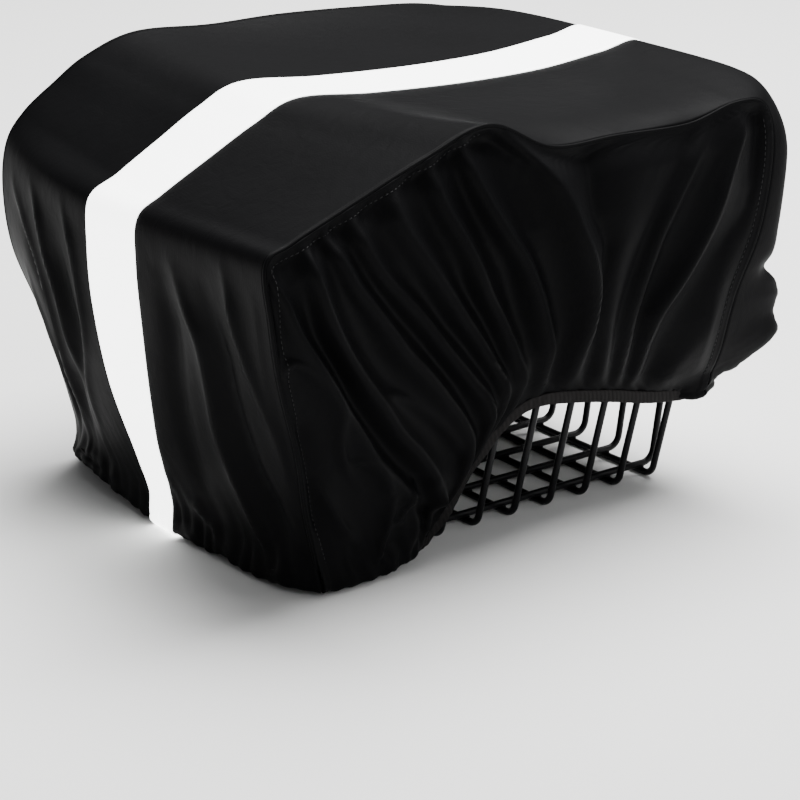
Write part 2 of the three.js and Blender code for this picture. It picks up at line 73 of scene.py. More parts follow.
WIRE = 4.0
GAP = 0.3
FLOOR_HALF_LENGTH = 124.0
FLOOR_HALF_WIDTH = 100.0
SIDE_FLARE = 0.27
END_FLARE = 0.155
BEND_RADIUS = 8.0
RIM_HEIGHT = 180.0
RIM_CORNER_RADIUS = 28.0
CROSS_WIRES, CROSS_PITCH = 10, 26.0
LONG_WIRES, LONG_PITCH = 7, 30.5
CROSS_PLACES = [(k - (CROSS_WIRES - 1) / 2) * CROSS_PITCH for k in range(CROSS_WIRES)]
LONG_PLACES = [(k - (LONG_WIRES - 1) / 2) * LONG_PITCH for k in range(LONG_WIRES)]
CLOTH_FACE = 0.75
BINDING_WIDTH = 8.0
BINDING_THICKNESS = 2.4
HEM_BLEND = 30.0
SEAM_BLEND = 18.0
EDGE_CLEARANCE = 0.8
RIM_BAND = 6.0
RIM_SLOPE = 0.4
EASE = 3.0
CORNER_POWER = 9
PROBE = 0.02
HEM_END_POWER = 8
REAR_EDGE = 5
FRONT_EDGE = 14
ARCH_FROM = -75.0
ARCH_RUN = 35.0


def smooth(value: np.ndarray) -> np.ndarray:
    """An S curve from 0 to 1, held at its ends."""
    t = np.clip(value, 0.0, 1.0)
    return t * t * (3.0 - 2.0 * t)


def mix(a: np.ndarray, b: np.ndarray, share: np.ndarray) -> np.ndarray:
    """The value at a share of the way from a to b."""
    return a + (b - a) * share


def arched(x: np.ndarray) -> np.ndarray:
    """How much of the arch there is at places along the hem: 0 behind it and 1 under it."""
    return smooth((x - ARCH_FROM) / ARCH_RUN)


def unit(vectors: np.ndarray) -> np.ndarray:
    """Vectors brought to length 1."""
    return vectors / np.linalg.norm(vectors, axis=-1, keepdims=True)


@dataclass(frozen=True)
class Table:
    """Rows of named numbers, read on a smooth curve through the rows."""

    columns: str
    rows: tuple[tuple[float, ...], ...]

    def column(self, name: str) -> np.ndarray:
        """All values of one column."""
        k = self.columns.split().index(name)
        return np.array([row[k] for row in self.rows], float)

    def at(self, name: str, position: np.ndarray) -> np.ndarray:
        """Values of a column at fractional rows.

        Args:
            name: The column.
            position: Fractional row numbers.

        Returns:
            The values there, on a curve through all rows.
        """
        values = self.column(name)
        last = len(values) - 1
        i = np.clip(np.floor(position).astype(int), 0, last - 1)
        t = position - i
        a, b, c, d = (values[np.clip(i + k, 0, last)] for k in (-1, 0, 1, 2))
        slope_b, slope_c = (c - a) / 2, (d - b) / 2
        return ((2 * t**3 - 3 * t**2 + 1) * b + (t**3 - 2 * t**2 + t) * slope_b
                + (3 * t**2 - 2 * t**3) * c + (t**3 - t**2) * slope_c)

    def where(self, name: str, wanted: np.ndarray) -> np.ndarray:
        """Fractional rows at which a rising column has the wanted values."""
        values = self.column(name)
        return np.interp(wanted, values, np.arange(len(values)))


# Sections of the centre panel from the rear hem over the top to the front hem. Far and near are
# the points on the two seams and mid is the point on the centre line. Hang is 1 where the panel
# hangs, lie is 1 where it lies, and the rounds say how squarely each edge turns.
SECTIONS = Table(
    "farX farY farZ midX midZ nearX nearY nearZ hang lie farRound nearRound stripHalf",
    (
        (-130, 127, 13, -150, 11, -139, -126, 11, 1, 0, 2, 1.5, 12),
        (-134, 141, 50, -164, 50, -151, -131, 52, 1, 0, 2, 1.5, 14),
        (-144, 146, 90, -174, 88, -161, -139, 88, 1, 0, 2, 1.5, 21),
        (-158, 150, 130, -180, 132, -177, -148, 132, 1, 0, 2, 1.5, 25),
        (-162, 151, 165, -182, 166, -185, -153, 165, 1, 0, 2, 1.5, 25),
        (-159, 150, 192, -180, 190, -187, -152, 196, 1, 1, 2, 1.5, 25),
        (-147, 150, 208, -164, 200, -171, -151, 204, 0, 1, 2, 2, 25),
        (-127, 150, 222, -138, 214, -135, -150, 217, 0, 1, 2, 2, 25),
        (-105, 150, 235, -110, 229, -88, -150, 234, 0, 1, 3, 2, 25),
        (-72, 149, 245, -84, 239, -47, -150, 245, 0, 1, 4, 3, 25),
        (-21, 148, 243, -32, 235, -5, -149, 227, 0, 1, 4, 5, 25),
        (30, 148, 243, 33, 232, 40, -149, 226, 0, 1, 4, 6, 25),
        (91, 148, 240, 90, 232, 90, -150, 225, 0, 1, 4, 8, 25),
        (138, 148, 236, 138, 236, 124, -150.5, 232, 0, 1, 4, 6, 25),
        (162, 147, 228, 166, 238, 145, -151.5, 228, 1, 1, 4, 6, 25),
        (165, 150, 203, 168, 206, 149, -155, 203, 1, 0, 6, 10, 25),
        (160, 153, 160, 163, 160, 142, -155, 160, 1, 0, 8, 12, 25),
        (154, 147, 120, 158, 118, 132, -148, 122, 1, 0, 8, 20, 25),
        (146, 135, 86, 153, 84, 131, -139, 88, 1, 0, 6, 18, 25),
        (127, 121, 62, 137, 63, 138, -125, 62, 1, 0, 6, 6, 25),
    ),
)
LAST = len(SECTIONS.rows) - 1

# Lower edge of the binding. At is the section that it hangs from on the long sides and the share
# of the half width on the ends. Out is its distance from the wires.
HEM = {
    Side.NEAR: Table("at x out z", (
        (5.0, -138, 21, 3), (5.7, -127, 22, 2.5), (6.5, -113, 22, 2.5), (7.2, -98, 21, 3),
        (7.8, -84, 18, 4), (8.4, -70, 13, 4.5), (8.9, -57, 7, 5), (9.12, -51, 4.2, 8.5),
        (9.27, -46, 3, 11.8), (9.48, -40.5, 1.5, 18.7), (9.68, -36, 0.6, 28), (9.9, -30.5, 0, 40),
        (10.1, -23, 0, 50), (10.35, -13.5, 0, 63), (10.6, -2, 0, 71.5), (10.85, 10, 0, 73.8),
        (11.2, 27, 0, 72), (11.8, 61, 0, 65), (12.5, 92, 0, 57), (13.3, 116, 0, 53),
        (14.0, 130, 3, 54),
    )),
    Side.FRONT: Table("at y out z", (
        (1.0, -121.5, -5.7, 54), (0.93, -115, 5, 56), (0.8, -100, 11, 57), (0.55, -69, 2, 56),
        (0.0, 0, 0, 55), (-0.77, 92, 0, 53.5), (-0.9, 108, -2.5, 53), (-1.0, 120, -6.7, 53),
    )),
    Side.FAR: Table("at x out z", (
        (14.0, 129, 2, 53), (12.5, 92, 3, 56), (11.2, 40, 4, 52), (10.0, -8, 6, 34),
        (9.0, -48, 10, 14), (8.0, -80, 16, 6), (6.5, -112, 21, 4), (5.0, -130, 22, 5),
    )),
    Side.REAR: Table("at y out z", (
        (-1.0, 127, 1.7, 5), (-0.88, 112, 11, 9), (-0.7, 88, 19, 12), (-0.43, 54, 21, 7),
        (-0.14, 17, 22, 2), (0.08, -10, 24, 2.5), (0.21, -26, 23, 3), (0.33, -42, 22, 1.5),
        (0.47, -59, 22, 4.5), (0.54, -68, 22, 2), (0.73, -92, 21, 2.5), (0.89, -112, 19, 4.5),
        (1.0, -125, 10, 3),
    )),
}
HEM_STEPS = {Side.NEAR: 208, Side.FRONT: 96, Side.FAR: 160, Side.REAR: 150}

# Distance of the hanging sides from the centre plane at each height
BELLY = Table("z out", (
    (0, 125), (40, 131), (75, 137), (110, 145), (150, 153), (180, 156.5), (210, 154), (250, 150),
))


@dataclass(frozen=True)
class Crease:
    """One fold of a wall: the points it runs through, its half width and its height."""

    half_width: float
    height: float
    points: tuple[tuple[float, float], ...]

    def lift(self, u: np.ndarray, v: np.ndarray) -> np.ndarray:
        """Height of the fold at points of its wall.

        Args:
            u: First coordinate of the points, in millimetres.
            v: Second coordinate of the points, in millimetres.

        Returns:
            How far the cloth stands out at each point.
        """
        line = self._line()
        nearest = np.full(u.shape, np.inf)
        along = np.zeros(u.shape)
        steps = len(line) - 1
        for k in range(steps):
            run = line[k + 1] - line[k]
            share = np.clip(((u - line[k][0]) * run[0] + (v - line[k][1]) * run[1])
                            / (run @ run), 0.0, 1.0)
            away = np.hypot(u - line[k][0] - share * run[0], v - line[k][1] - share * run[1])
            closer = away < nearest
            nearest = np.where(closer, away, nearest)
            along = np.where(closer, (k + share) / steps, along)
        ends = smooth(along * 4.0) * smooth((1.0 - along) * 4.0)
        return self.height * self._profile(nearest / self.half_width) * mix(0.25, 1.0, ends)

    def _line(self) -> np.ndarray:
        """The fold's line as a smooth curve through its points.

        Returns:
            The points of the curve.
        """
        table = Table("u v", self.points)
        rows = np.linspace(0.0, len(self.points) - 1.0, 4 * (len(self.points) - 1) + 1)
        return np.stack([table.at("u", rows), table.at("v", rows)], axis=-1)

    def _profile(self, away: np.ndarray) -> np.ndarray:
        """Height across the fold. A ridge has a narrow crest and a trough is round.

        Args:
            away: Distances from the fold's line, in half widths.

        Returns:
            Shares of the fold's height.
        """
        if self.height < 0:
            return np.exp(-(away**2))
        crest = 0.25
        return np.exp(-1.6 * (np.sqrt(away**2 + crest**2) - crest))


@dataclass(frozen=True)
class FoldLine:
    """A ridge or a valley of a gathered side, from the top seam down to the hem.

    Its heights are those at the top, halfway and at the hem, and its course is a list of places
    in per cent of the way along the panel and of the way down it.
    """

    heights: tuple[float, float, float]
    crisp: bool
    course: tuple[tuple[float, float], ...]

    def along(self, down: np.ndarray) -> np.ndarray:
        """Shares of the way along the panel at shares of the way down.

        Args:
            down: Shares of the way down the panel.

        Returns:
            Shares of the way along it.
        """
        points = np.array(self.course) / 100.0
        fine = np.linspace(0.0, 1.0, 121)
        share = np.interp(fine, points[:, 1], points[:, 0])
        for _ in range(12):
            share[1:-1] = (share[:-2] + 2.0 * share[1:-1] + share[2:]) / 4.0
        return np.interp(down, fine, share)

    def height(self, down: np.ndarray) -> np.ndarray:
        """Heights in millimetres at shares of the way down."""
        return Table("h", tuple((h,) for h in self.heights)).at("h", 2.0 * down)


# The gathered side in the order of its folds, from the rear seam to the front seam
GATHERS = (
    FoldLine((-1, -2, -1.4), False, (
        (0.6, 0), (2, 15), (4.9, 35), (8.9, 55), (14.7, 72), (24.3, 90))),
    FoldLine((2, 7, 2.5), True, (
        (0.6, 4), (5, 15), (6.9, 26), (10.9, 37), (14.8, 49), (18.7, 58), (21.6, 67), (26.4, 75),
        (30.2, 81), (34.1, 89))),
    FoldLine((-4, -4.1, -2.1), False, (
        (9, 7), (10.9, 18), (12.9, 31), (16.8, 43), (19.7, 54), (24.5, 64), (28.4, 73), (33.2, 80),
        (38.9, 90))),
    FoldLine((3, 7, 2.5), True, (
        (13, 5), (13, 11), (13.9, 20), (14.9, 27), (16.8, 36), (19.7, 45), (23.6, 54), (27.5, 64),
        (33.3, 73), (40, 85))),
    FoldLine((-3, -3.4, -2.1), False, (
        (16, 5), (18.9, 22), (20.8, 31), (23.7, 42), (27.6, 51), (32.4, 61), (39.1, 71),
        (44.9, 80))),
    FoldLine((3, 7, 2.5), True, (
        (17, 5), (18.9, 15), (19.9, 21), (22.8, 29), (25.7, 37), (28.6, 45), (33.5, 53),
        (38.3, 61), (43.1, 67), (46.9, 75))),
    FoldLine((-4, -4.1, -2.1), False, (
        (19, 4), (22.9, 18), (25.8, 29), (28.7, 37), (33.5, 46), (38.4, 54), (43.2, 61),
        (50.8, 77))),
    FoldLine((3, 7, 2.5), True, (
        (21.9, 8), (22.9, 16), (24.8, 24), (28.7, 33), (32.6, 41), (36.5, 49), (42.3, 57),
        (49, 65), (51.8, 74))),
    FoldLine((-4, -4.1, -2.1), False, (
        (24, 5), (27.8, 20), (29.8, 27), (33.6, 36), (37.5, 44), (43.3, 51), (49.1, 59),
        (54.7, 75))),
    FoldLine((3, 7, 2.5), True, (
        (28, 3), (27.9, 11), (29.8, 19), (32.7, 28), (35.6, 35), (39.5, 43), (43.4, 49),
        (48.2, 56), (52.9, 65), (55.2, 75))),
    FoldLine((-5, -4.1, -2.1), False, (
        (32, 5), (32.9, 12), (34.8, 21), (37.7, 29), (40.5, 37), (44.4, 43), (49.2, 51), (54, 63),
        (57.6, 80))),
    FoldLine((2, 7, 2.5), True, (
        (33.5, 5), (34.9, 14), (37.7, 23), (40.6, 31), (43.5, 39), (47.4, 45), (52.1, 55),
        (55.9, 67), (58.6, 78))),
    FoldLine((-5, -4.1, -2.1), False, (
        (38, 3), (39.8, 13), (41.7, 21), (44.6, 29), (48.5, 35), (51.3, 43), (56, 56), (59.7, 73),
        (62.3, 90))),
    FoldLine((2, 10, 3), True, (
        (38.9, 5), (40.8, 13), (43.7, 21), (46.6, 27), (50.5, 33), (54.3, 43), (58, 57),
        (60.7, 69), (64.2, 92))),
    FoldLine((-7, -4.4, -3), False, (
        (44, 1), (47.9, 9), (50.7, 19), (54.5, 31), (59.2, 47), (62.8, 64), (64.4, 80),
        (65.5, 98))),
    FoldLine((3, 11, 3), True, (
        (47, 2), (52.9, 7), (56.7, 19), (59.4, 31), (62.2, 42), (64.5, 53), (65.7, 65), (66.1, 76),
        (67.9, 98))),
    FoldLine((-7, -4.6, -3), True, (
        (63.8, 2), (62.4, 8), (62.6, 19), (63.4, 29), (66.2, 38), (66.6, 45), (66.9, 54),
        (67.7, 65), (69.3, 78), (71.3, 98))),
    FoldLine((0, 1, 2.5), False, (
        (70, 2), (68.6, 20), (68.2, 38), (67.7, 45), (68.5, 54), (69.2, 65), (70.7, 77),
        (72.8, 98))),
    FoldLine((-2, -3.4, -2.1), True, (
        (77.8, 10), (75.5, 21), (73.3, 30), (72.1, 40), (71.4, 57), (71.5, 68), (72.4, 80),
        (74.7, 98))),
    FoldLine((1, 5, 2.5), True, (
        (80.9, 5), (77.1, 17), (74.8, 27), (73.2, 37), (72.8, 54), (73.1, 65), (74.2, 77),
        (76.2, 97))),
    FoldLine((0, -4.1, -2.1), False, (
        (82.9, 5), (81.5, 19), (78.3, 29), (76.1, 39), (75.5, 47), (74.5, 67), (75.2, 78),
        (77.1, 98))),
    FoldLine((1, 6, 2.5), True, (
        (88.9, 5), (88.7, 12), (84.4, 24), (82.7, 32), (81, 40), (79.8, 48), (78.2, 56),
        (76.5, 64), (76.6, 75), (78.8, 97))),
    FoldLine((-3, -5.4, -2.8), False, (
        (96.1, 4), (94.2, 28), (91.9, 38), (87.7, 47), (85.5, 56), (82.3, 66), (80.2, 75),
        (80.6, 98))),
    FoldLine((0, 0, 3.5), False, (
        (98.3, 4), (96.5, 50), (95.2, 62), (92, 71), (87.9, 78), (84.8, 86), (86.4, 98))),
)

# Smaller folds, in x and z on the side and in y and z on the walls
SIDE_CREASES = (
    Crease(4, 3.5, ((-176, 118), (-177, 134), (-172, 143), (-164, 139), (-152, 125),
                    (-144, 111), (-140, 98), (-136, 85), (-130, 73), (-119, 59))),
    Crease(4, 3, ((-132, 77), (-126, 78), (-120, 77), (-111, 69), (-104, 58), (-99, 51))),
    Crease(5, 3, ((-149, 74), (-143, 63), (-136, 50), (-128, 38), (-116, 26))),
    Crease(4, 3.5, ((-99, 50), (-100, 36), (-102, 20), (-105, 8))),
    Crease(6, -4, ((-92, 46), (-84, 38), (-70, 32), (-57, 24))),
    Crease(4, 2.5, ((-113, 114), (-96, 106), (-74, 89), (-61, 75), (-51, 63))),
    Crease(3.5, 3, ((-86, 58), (-88, 41), (-96, 34))),
    Crease(7, -3, ((-165, 110), (-156, 90), (-147, 60), (-140, 30))),
    Crease(4, 3, ((-75, 58), (-69, 44), (-58, 34))),
)
REAR_CREASES = (
    Crease(7, 4, ((-107, 194), (-116, 177), (-120, 159), (-125, 138), (-128, 118), (-130, 89),
                  (-129, 59), (-126, 32))),
    Crease(8, 4.5, ((-62, 172), (-73, 155), (-83, 138), (-83, 112), (-80, 82), (-86, 47),
                    (-95, 25), (-105, 12))),
    Crease(9, -4, ((-52, 165), (-54, 136), (-49, 106), (-46, 67), (-48, 37))),
    Crease(8, -4, ((-93, 169), (-100, 138), (-98, 109), (-99, 72), (-108, 47), (-116, 20))),
    Crease(5, 2, ((-140, 180), (-141, 161), (-136, 120), (-130, 82), (-126, 44))),
    Crease(4, 3, ((-32, 28), (-40, 25), (-49, 19), (-59, 11))),
    Crease(6, 3.5, ((104, 187), (88, 169), (80, 146), (72, 125), (69, 90), (74, 50))),
    Crease(6, 4.5, ((129, 176), (107, 153), (92, 127), (88, 98), (90, 65), (94, 33))),
    Crease(5, 2.5, ((59, 187), (48, 167), (42, 147), (41, 112), (55, 75), (60, 35))),
    Crease(8, -4, ((116, 160), (101, 130), (100, 98), (104, 60), (108, 30))),
    Crease(8, -3.5, ((66, 160), (60, 130), (56, 98), (78, 60), (80, 30))),
    Crease(4, 3, ((93, 19), (77, 21), (58, 15), (40, 10))),
    Crease(5, 2.5, ((125, 120), (122, 90), (116, 60), (112, 25))),
)
FRONT_CREASES = (
    Crease(9, 5, ((104, 218), (92, 180), (88, 140), (80, 75))),
    Crease(10, -4, ((70, 218), (66, 170), (60, 120), (58, 72))),
    Crease(7, 4, ((44, 215), (42, 160), (48, 110), (44, 72))),
    Crease(7, 4, ((-42, 215), (-40, 160), (-48, 110), (-46, 72))),
    Crease(10, -4, ((-66, 218), (-70, 165), (-62, 120), (-66, 72))),
    Crease(9, 5, ((-96, 218), (-92, 180), (-86, 140), (-88, 75))),
    Crease(8, -4, ((126, 200), (120, 160), (112, 120), (104, 75))),
    Crease(14, 11, ((-138, 134), (-142, 104), (-130, 70))),
    Crease(7, -5, ((-118, 150), (-122, 120), (-112, 84))),
)
# The pouch of cloth at the near front corner, in y and z
CORNER_POUCH = (
    Crease(10, 10, ((-139, 104), (-138, 90), (-136, 78), (-131, 69), (-126, 62))),
    Crease(6, -5, ((-158, 136), (-148, 131), (-136, 128))),
    Crease(6, 2, ((-152, 117), (-142, 114), (-134, 108))),
)


def lifted(folds: tuple[Crease, ...], u: np.ndarray, v: np.ndarray) -> np.ndarray:
    """Height of all folds of a wall at its points.

    Args:
        folds: The folds of the wall.
        u: First coordinate of the points, in millimetres.
        v: Second coordinate of the points, in millimetres.

    Returns:
        How far the cloth stands out at each point.
    """
    total = np.zeros(u.shape)
    for fold in folds:
        total += fold.lift(u, v)
    return total


def folded(lines: tuple[FoldLine, ...], travel: np.ndarray, down: np.ndarray) -> np.ndarray:
    """Height of a gathered side, row by row from fold line to fold line.

    Args:
        lines: The ridges and valleys in their order along the panel.
        travel: Distances along each row of the panel, in millimetres.
        down: Share of the way down of each row.

    Returns:
        How far the cloth stands out at each point.
    """
    share = np.linspace(0.0, 1.0, travel.shape[1])
    courses = np.array([line.along(down) for line in lines])
    heights = np.array([line.height(down) for line in lines])
    crisp = np.array([True, *[line.crisp for line in lines], True])
    total = np.zeros(travel.shape)
    for j, row in enumerate(travel):
        spots = np.concatenate([[0.0], np.interp(courses[:, j], share, row), [row[-1]]])
        for k in range(1, len(spots)):
            spots[k] = max(spots[k], spots[k - 1] + 0.4)
        values = np.concatenate([[0.0], heights[:, j], [0.0]])
        k = np.clip(np.searchsorted(spots, row, side="right") - 1, 0, len(spots) - 2)
        t = np.clip((row - spots[k]) / (spots[k + 1] - spots[k]), 0.0, 1.0)
        rise = np.where(crisp[k], np.where(crisp[k + 1], t, 1.0 - (1.0 - t) ** 2),
                        np.where(crisp[k + 1], t**2, smooth(t)))
        total[j] = mix(values[k], values[k + 1], rise)
    for _ in range(3):
        total[:, 1:-1] = (total[:, :-2] + 2.0 * total[:, 1:-1] + total[:, 2:]) / 4.0
        total[1:-1] = (total[:-2] + 2.0 * total[1:-1] + total[2:]) / 4.0
    return total


def gathered(position: np.ndarray, wavelength: float, seed: float) -> np.ndarray:
    """An uneven wave, as in cloth drawn up by elastic.

    Args:
        position: Distance along the gathered edge, in millimetres.
        wavelength: Mean width of one gather, in millimetres.
        seed: Shifts the unevenness, so that two edges differ.

    Returns:
        The wave, from about -1 to 1.
    """
    turn = 2.0 * math.pi * position / wavelength
    wobble = 1.4 * np.sin(turn / 5.3 + seed) + 0.9 * np.sin(turn / 2.9 + 2.0 * seed)
    size = 0.65 + 0.35 * np.sin(turn / 3.7 + 3.0 * seed)
    return np.sin(turn + wobble) * size


@dataclass(frozen=True)
class EdgeGather:
    """Fine gathers beside a drawn-up edge, in millimetres."""

    height: float
    start: float
    reach: float
    wavelength: float
    seed: float

    def lift(self, away: np.ndarray, travel: np.ndarray) -> np.ndarray:
        """How far the cloth stands out at distances from the edge and along it."""
        near = smooth(away / self.start) * np.exp(-away / self.reach)
        return self.height * near * gathered(travel, self.wavelength, self.seed)


class HemLine:
    """The lower edge of the cover, with the directions away from the basket and up the cloth."""

    def __init__(self) -> None:
        """Builds the loop once round the cover."""
        sides, ats, edges = [], [], []
        for side, table in HEM.items():
            steps = HEM_STEPS[side]
            rows = np.arange(steps) / steps * (len(table.rows) - 1)
            sides += [side] * steps
            ats.append(table.at("at", rows))
            edges.append(self._edge(side, rows))
        self.sides = np.array([side.value for side in sides])
        self.ats = np.concatenate(ats)
        self.edge = np.concatenate(edges)
        along = np.roll(self.edge, -1, axis=0) - np.roll(self.edge, 1, axis=0)
        self.outward = unit(np.stack([
            (self.edge[:, 0] / FLOOR_HALF_LENGTH) ** CORNER_POWER,
            (self.edge[:, 1] / FLOOR_HALF_WIDTH) ** CORNER_POWER,
            np.zeros(len(self.edge)),
        ], axis=-1))
        lean = self.outward - np.array([0.0, 0.0, SIDE_FLARE])
        up = unit(np.cross(lean, along))
        self.up = np.where(up[:, 2:3] < 0, -up, up)
        step = np.linalg.norm(self.edge - np.roll(self.edge, 1, axis=0), axis=-1)
        self.travel = np.cumsum(step) - step[0]
        self.length = float(step.sum())

    def nearest(self, points: np.ndarray, rise: float, lift: float) -> np.ndarray:
        """Indices of the loop's points that lie nearest to given points of the cloth."""
        line = self.edge + self.up * rise + self.outward * lift
        return np.linalg.norm(points[:, None] - line[None], axis=-1).argmin(axis=1)

    @staticmethod
    def _edge(side: Side, rows: np.ndarray) -> np.ndarray:
        """Points of the binding's lower edge at fractional rows of one side.

        Args:
            side: The stretch of the hem.
            rows: Fractional rows of the stretch's table.

        Returns:
            The points.
        """
        table = HEM[side]
        z = table.at("z", rows)
        out = table.at("out", rows) + WIRE / 2 + GAP + BINDING_THICKNESS / 2
        if side in (Side.NEAR, Side.FAR):
            y = FLOOR_HALF_WIDTH + SIDE_FLARE * z + out
            return np.stack([table.at("x", rows), -y if side is Side.NEAR else y, z], axis=-1)
        x = FLOOR_HALF_LENGTH + END_FLARE * z + out
        return np.stack([-x if side is Side.REAR else x, table.at("y", rows), z], axis=-1)

    def cloth(self, side: Side, at: np.ndarray, rise: float, lift: float) -> np.ndarray:
        """Points where the cloth meets the binding.

        Args:
            side: The stretch of the hem.
            at: Sections or shares, as in the hem's table.
            rise: Distance up from the binding's lower edge, in millimetres.
            lift: Distance out from the binding's middle, in millimetres.

        Returns:
            The points.
        """
        first = int(np.argmax(self.sides == side.value))
        index = (first + np.arange(HEM_STEPS[side] + 1)) % len(self.ats)
        ats = self.ats[index]
        ats[-1] = HEM[side].column("at")[-1]
        line = self.edge[index] + self.up[index] * rise + self.outward[index] * lift
        order = np.argsort(ats)
        return np.stack([np.interp(at, ats[order], line[order, k]) for k in range(3)], axis=-1)


@dataclass
class Drape:
    """The draped shape of the whole cover, in millimetres."""

    hem: HemLine = field(default_factory=HemLine)
    cloth_rise: float = 5.0
    cloth_lift: float = 0.2
    seam_margin: float = 0.4
    relax_rounds: int = 160
    end_fade: float = 2.0
    seam_fade: float = 6.0
    pouch_end_fade: float = 4.0
    pouch_seam_fade: float = 9.0
    notch_mm: float = 11.0
    notch_power: float = 0.7
    draw_mm: float = 12.0
    arch_draw_mm: float = 20.0
    near_depth: float = 1.4
    side_puff: float = 3.0
    small_depth: float = 1.4
    small_seam_mm: float = 6.0
    arch_blend_mm: float = 58.0
    pouch_way: tuple[float, float, float] = (1.0, -0.4, -0.12)
    far_drift: float = 0.94
    far_depth: float = 0.8

    def centre_shape(self, section: np.ndarray, share: np.ndarray) -> np.ndarray:
        """The centre panel before it is fitted to the hem.

        Args:
            section: Fractional rows of the section table.
            share: Shares of the half width, from -1 at the far seam to 1 at the near one.

        Returns:
            The points.
        """
        s = np.abs(share)

        def value(name: str) -> np.ndarray:
            return SECTIONS.at(name, section)

        def edge(name: str) -> np.ndarray:
            return np.where(share < 0, value("far" + name), value("near" + name))

        turning = np.maximum(1.0, edge("Round"))
        turned = s**turning
        square = smooth((turning - 3.0) / 8.0)
        hang, lie = (np.clip(value(name), 0.0, 1.0) for name in ("hang", "lie"))
        return np.stack([
            mix(value("midX"), edge("X"), mix(s, turned, hang)),
            edge("Y") * mix(s, 1.0 - (1.0 - s) ** 2, square),
            mix(value("midZ"), edge("Z"), mix(s, turned, lie)),
        ], axis=-1)

    def centre_point(self, section: np.ndarray, share: np.ndarray) -> np.ndarray:
        """The centre panel in its place, with the folds of its hanging ends.

        Args:
            section: Fractional rows of the section table.
            share: Shares of the half width.

        Returns:
            The points.
        """
        section, share = np.broadcast_arrays(np.asarray(section, float), share)
        rear = section < LAST / 2
        end = np.where(rear, 0.0, float(LAST))
        from_end = np.abs(section - end)
        hem = np.where(
            rear[..., None],
            self.hem.cloth(Side.REAR, share, self.cloth_rise, self.cloth_lift),
            self.hem.cloth(Side.FRONT, share, self.cloth_rise, self.cloth_lift),
        )
        fade = np.maximum(0.0, 1.0 - from_end) ** 2
        point = self.centre_shape(section, share)
        point = point + (hem - self.centre_shape(end, share)) * fade[..., None]
        from_seam = 1.0 - np.abs(share)
        free = smooth(self.end_fade * from_end) * smooth(self.seam_fade * from_seam)
        hanging = np.clip(1.0 - SECTIONS.at("lie", section), 0.0, 1.0)
        y, z = point[..., 1], point[..., 2]
        height = np.where(rear, -lifted(REAR_CREASES, y, z), lifted(FRONT_CREASES, y, z))
        point[..., 0] += height * hanging * free
        corner = (smooth(self.pouch_end_fade * from_end)
                  * smooth(self.pouch_seam_fade * from_seam))
        pouch = np.where(rear, 0.0, lifted(CORNER_POUCH, y, z)) * hanging * corner
        point += pouch[..., None] * np.array(self.pouch_way)
        return point

    def seam(self, side: Side, section: np.ndarray) -> np.ndarray:
        """Points of a seam at fractional sections."""
        share = 1.0 if side is Side.NEAR else -1.0
        return self.centre_point(section, np.full(np.shape(section), share))

    def seam_direction(self, side: Side, section: np.ndarray) -> np.ndarray:
        """Unit directions of a seam, from the rear hem to the front hem."""
        after = self.seam(side, np.minimum(section + PROBE, LAST))
        return unit(after - self.seam(side, np.maximum(section - PROBE, 0.0)))

    def seam_inset(self, side: Side, section: np.ndarray) -> np.ndarray:
        """Points of a seam, moved a little into the side panel.

        Args:
            side: Near or far.
            section: Fractional rows of the section table.

        Returns:
            The points.
        """
        along = self.seam_direction(side, section)
        inward = unit(np.stack(
            [along[..., 2], np.zeros(np.shape(section)), -along[..., 0]], axis=-1))
        return self.seam(side, section) + inward * self.seam_margin

    def centre_grid(self, rows: int, columns: int, strip_columns: int) -> np.ndarray:
        """Points of the centre panel, evenly spaced along each cross row.

        Args:
            rows: Number of spans along the panel.
            columns: Number of spans on each side of the tape.
            strip_columns: Number of spans under the tape.

        Returns:
            An array of rows, columns and coordinates, from the far seam to the near seam.
        """
        sections = np.linspace(0.0, LAST, rows + 1)
        shares = np.linspace(-1.0, 1.0, 241)
        lines = self.centre_point(sections[:, None], shares[None, :])
        middle = len(shares) // 2
        grid = []
        for section, line in zip(sections, lines):
            steps = np.linalg.norm(np.diff(line, axis=0), axis=-1)
            travel = np.concatenate([[0.0], np.cumsum(steps)])
            travel -= travel[middle]
            half = float(SECTIONS.at("stripHalf", np.array(section)))
            far, near = travel[0] + self.seam_margin, travel[-1] - self.seam_margin
            stops = np.concatenate([
                np.linspace(far, -half, columns + 1)[:-1],
                np.linspace(-half, half, strip_columns + 1)[:-1],
                np.linspace(half, near, columns + 1),
            ])
            grid.append(np.stack([np.interp(stops, travel, line[:, k]) for k in range(3)], -1))
        return np.array(grid)

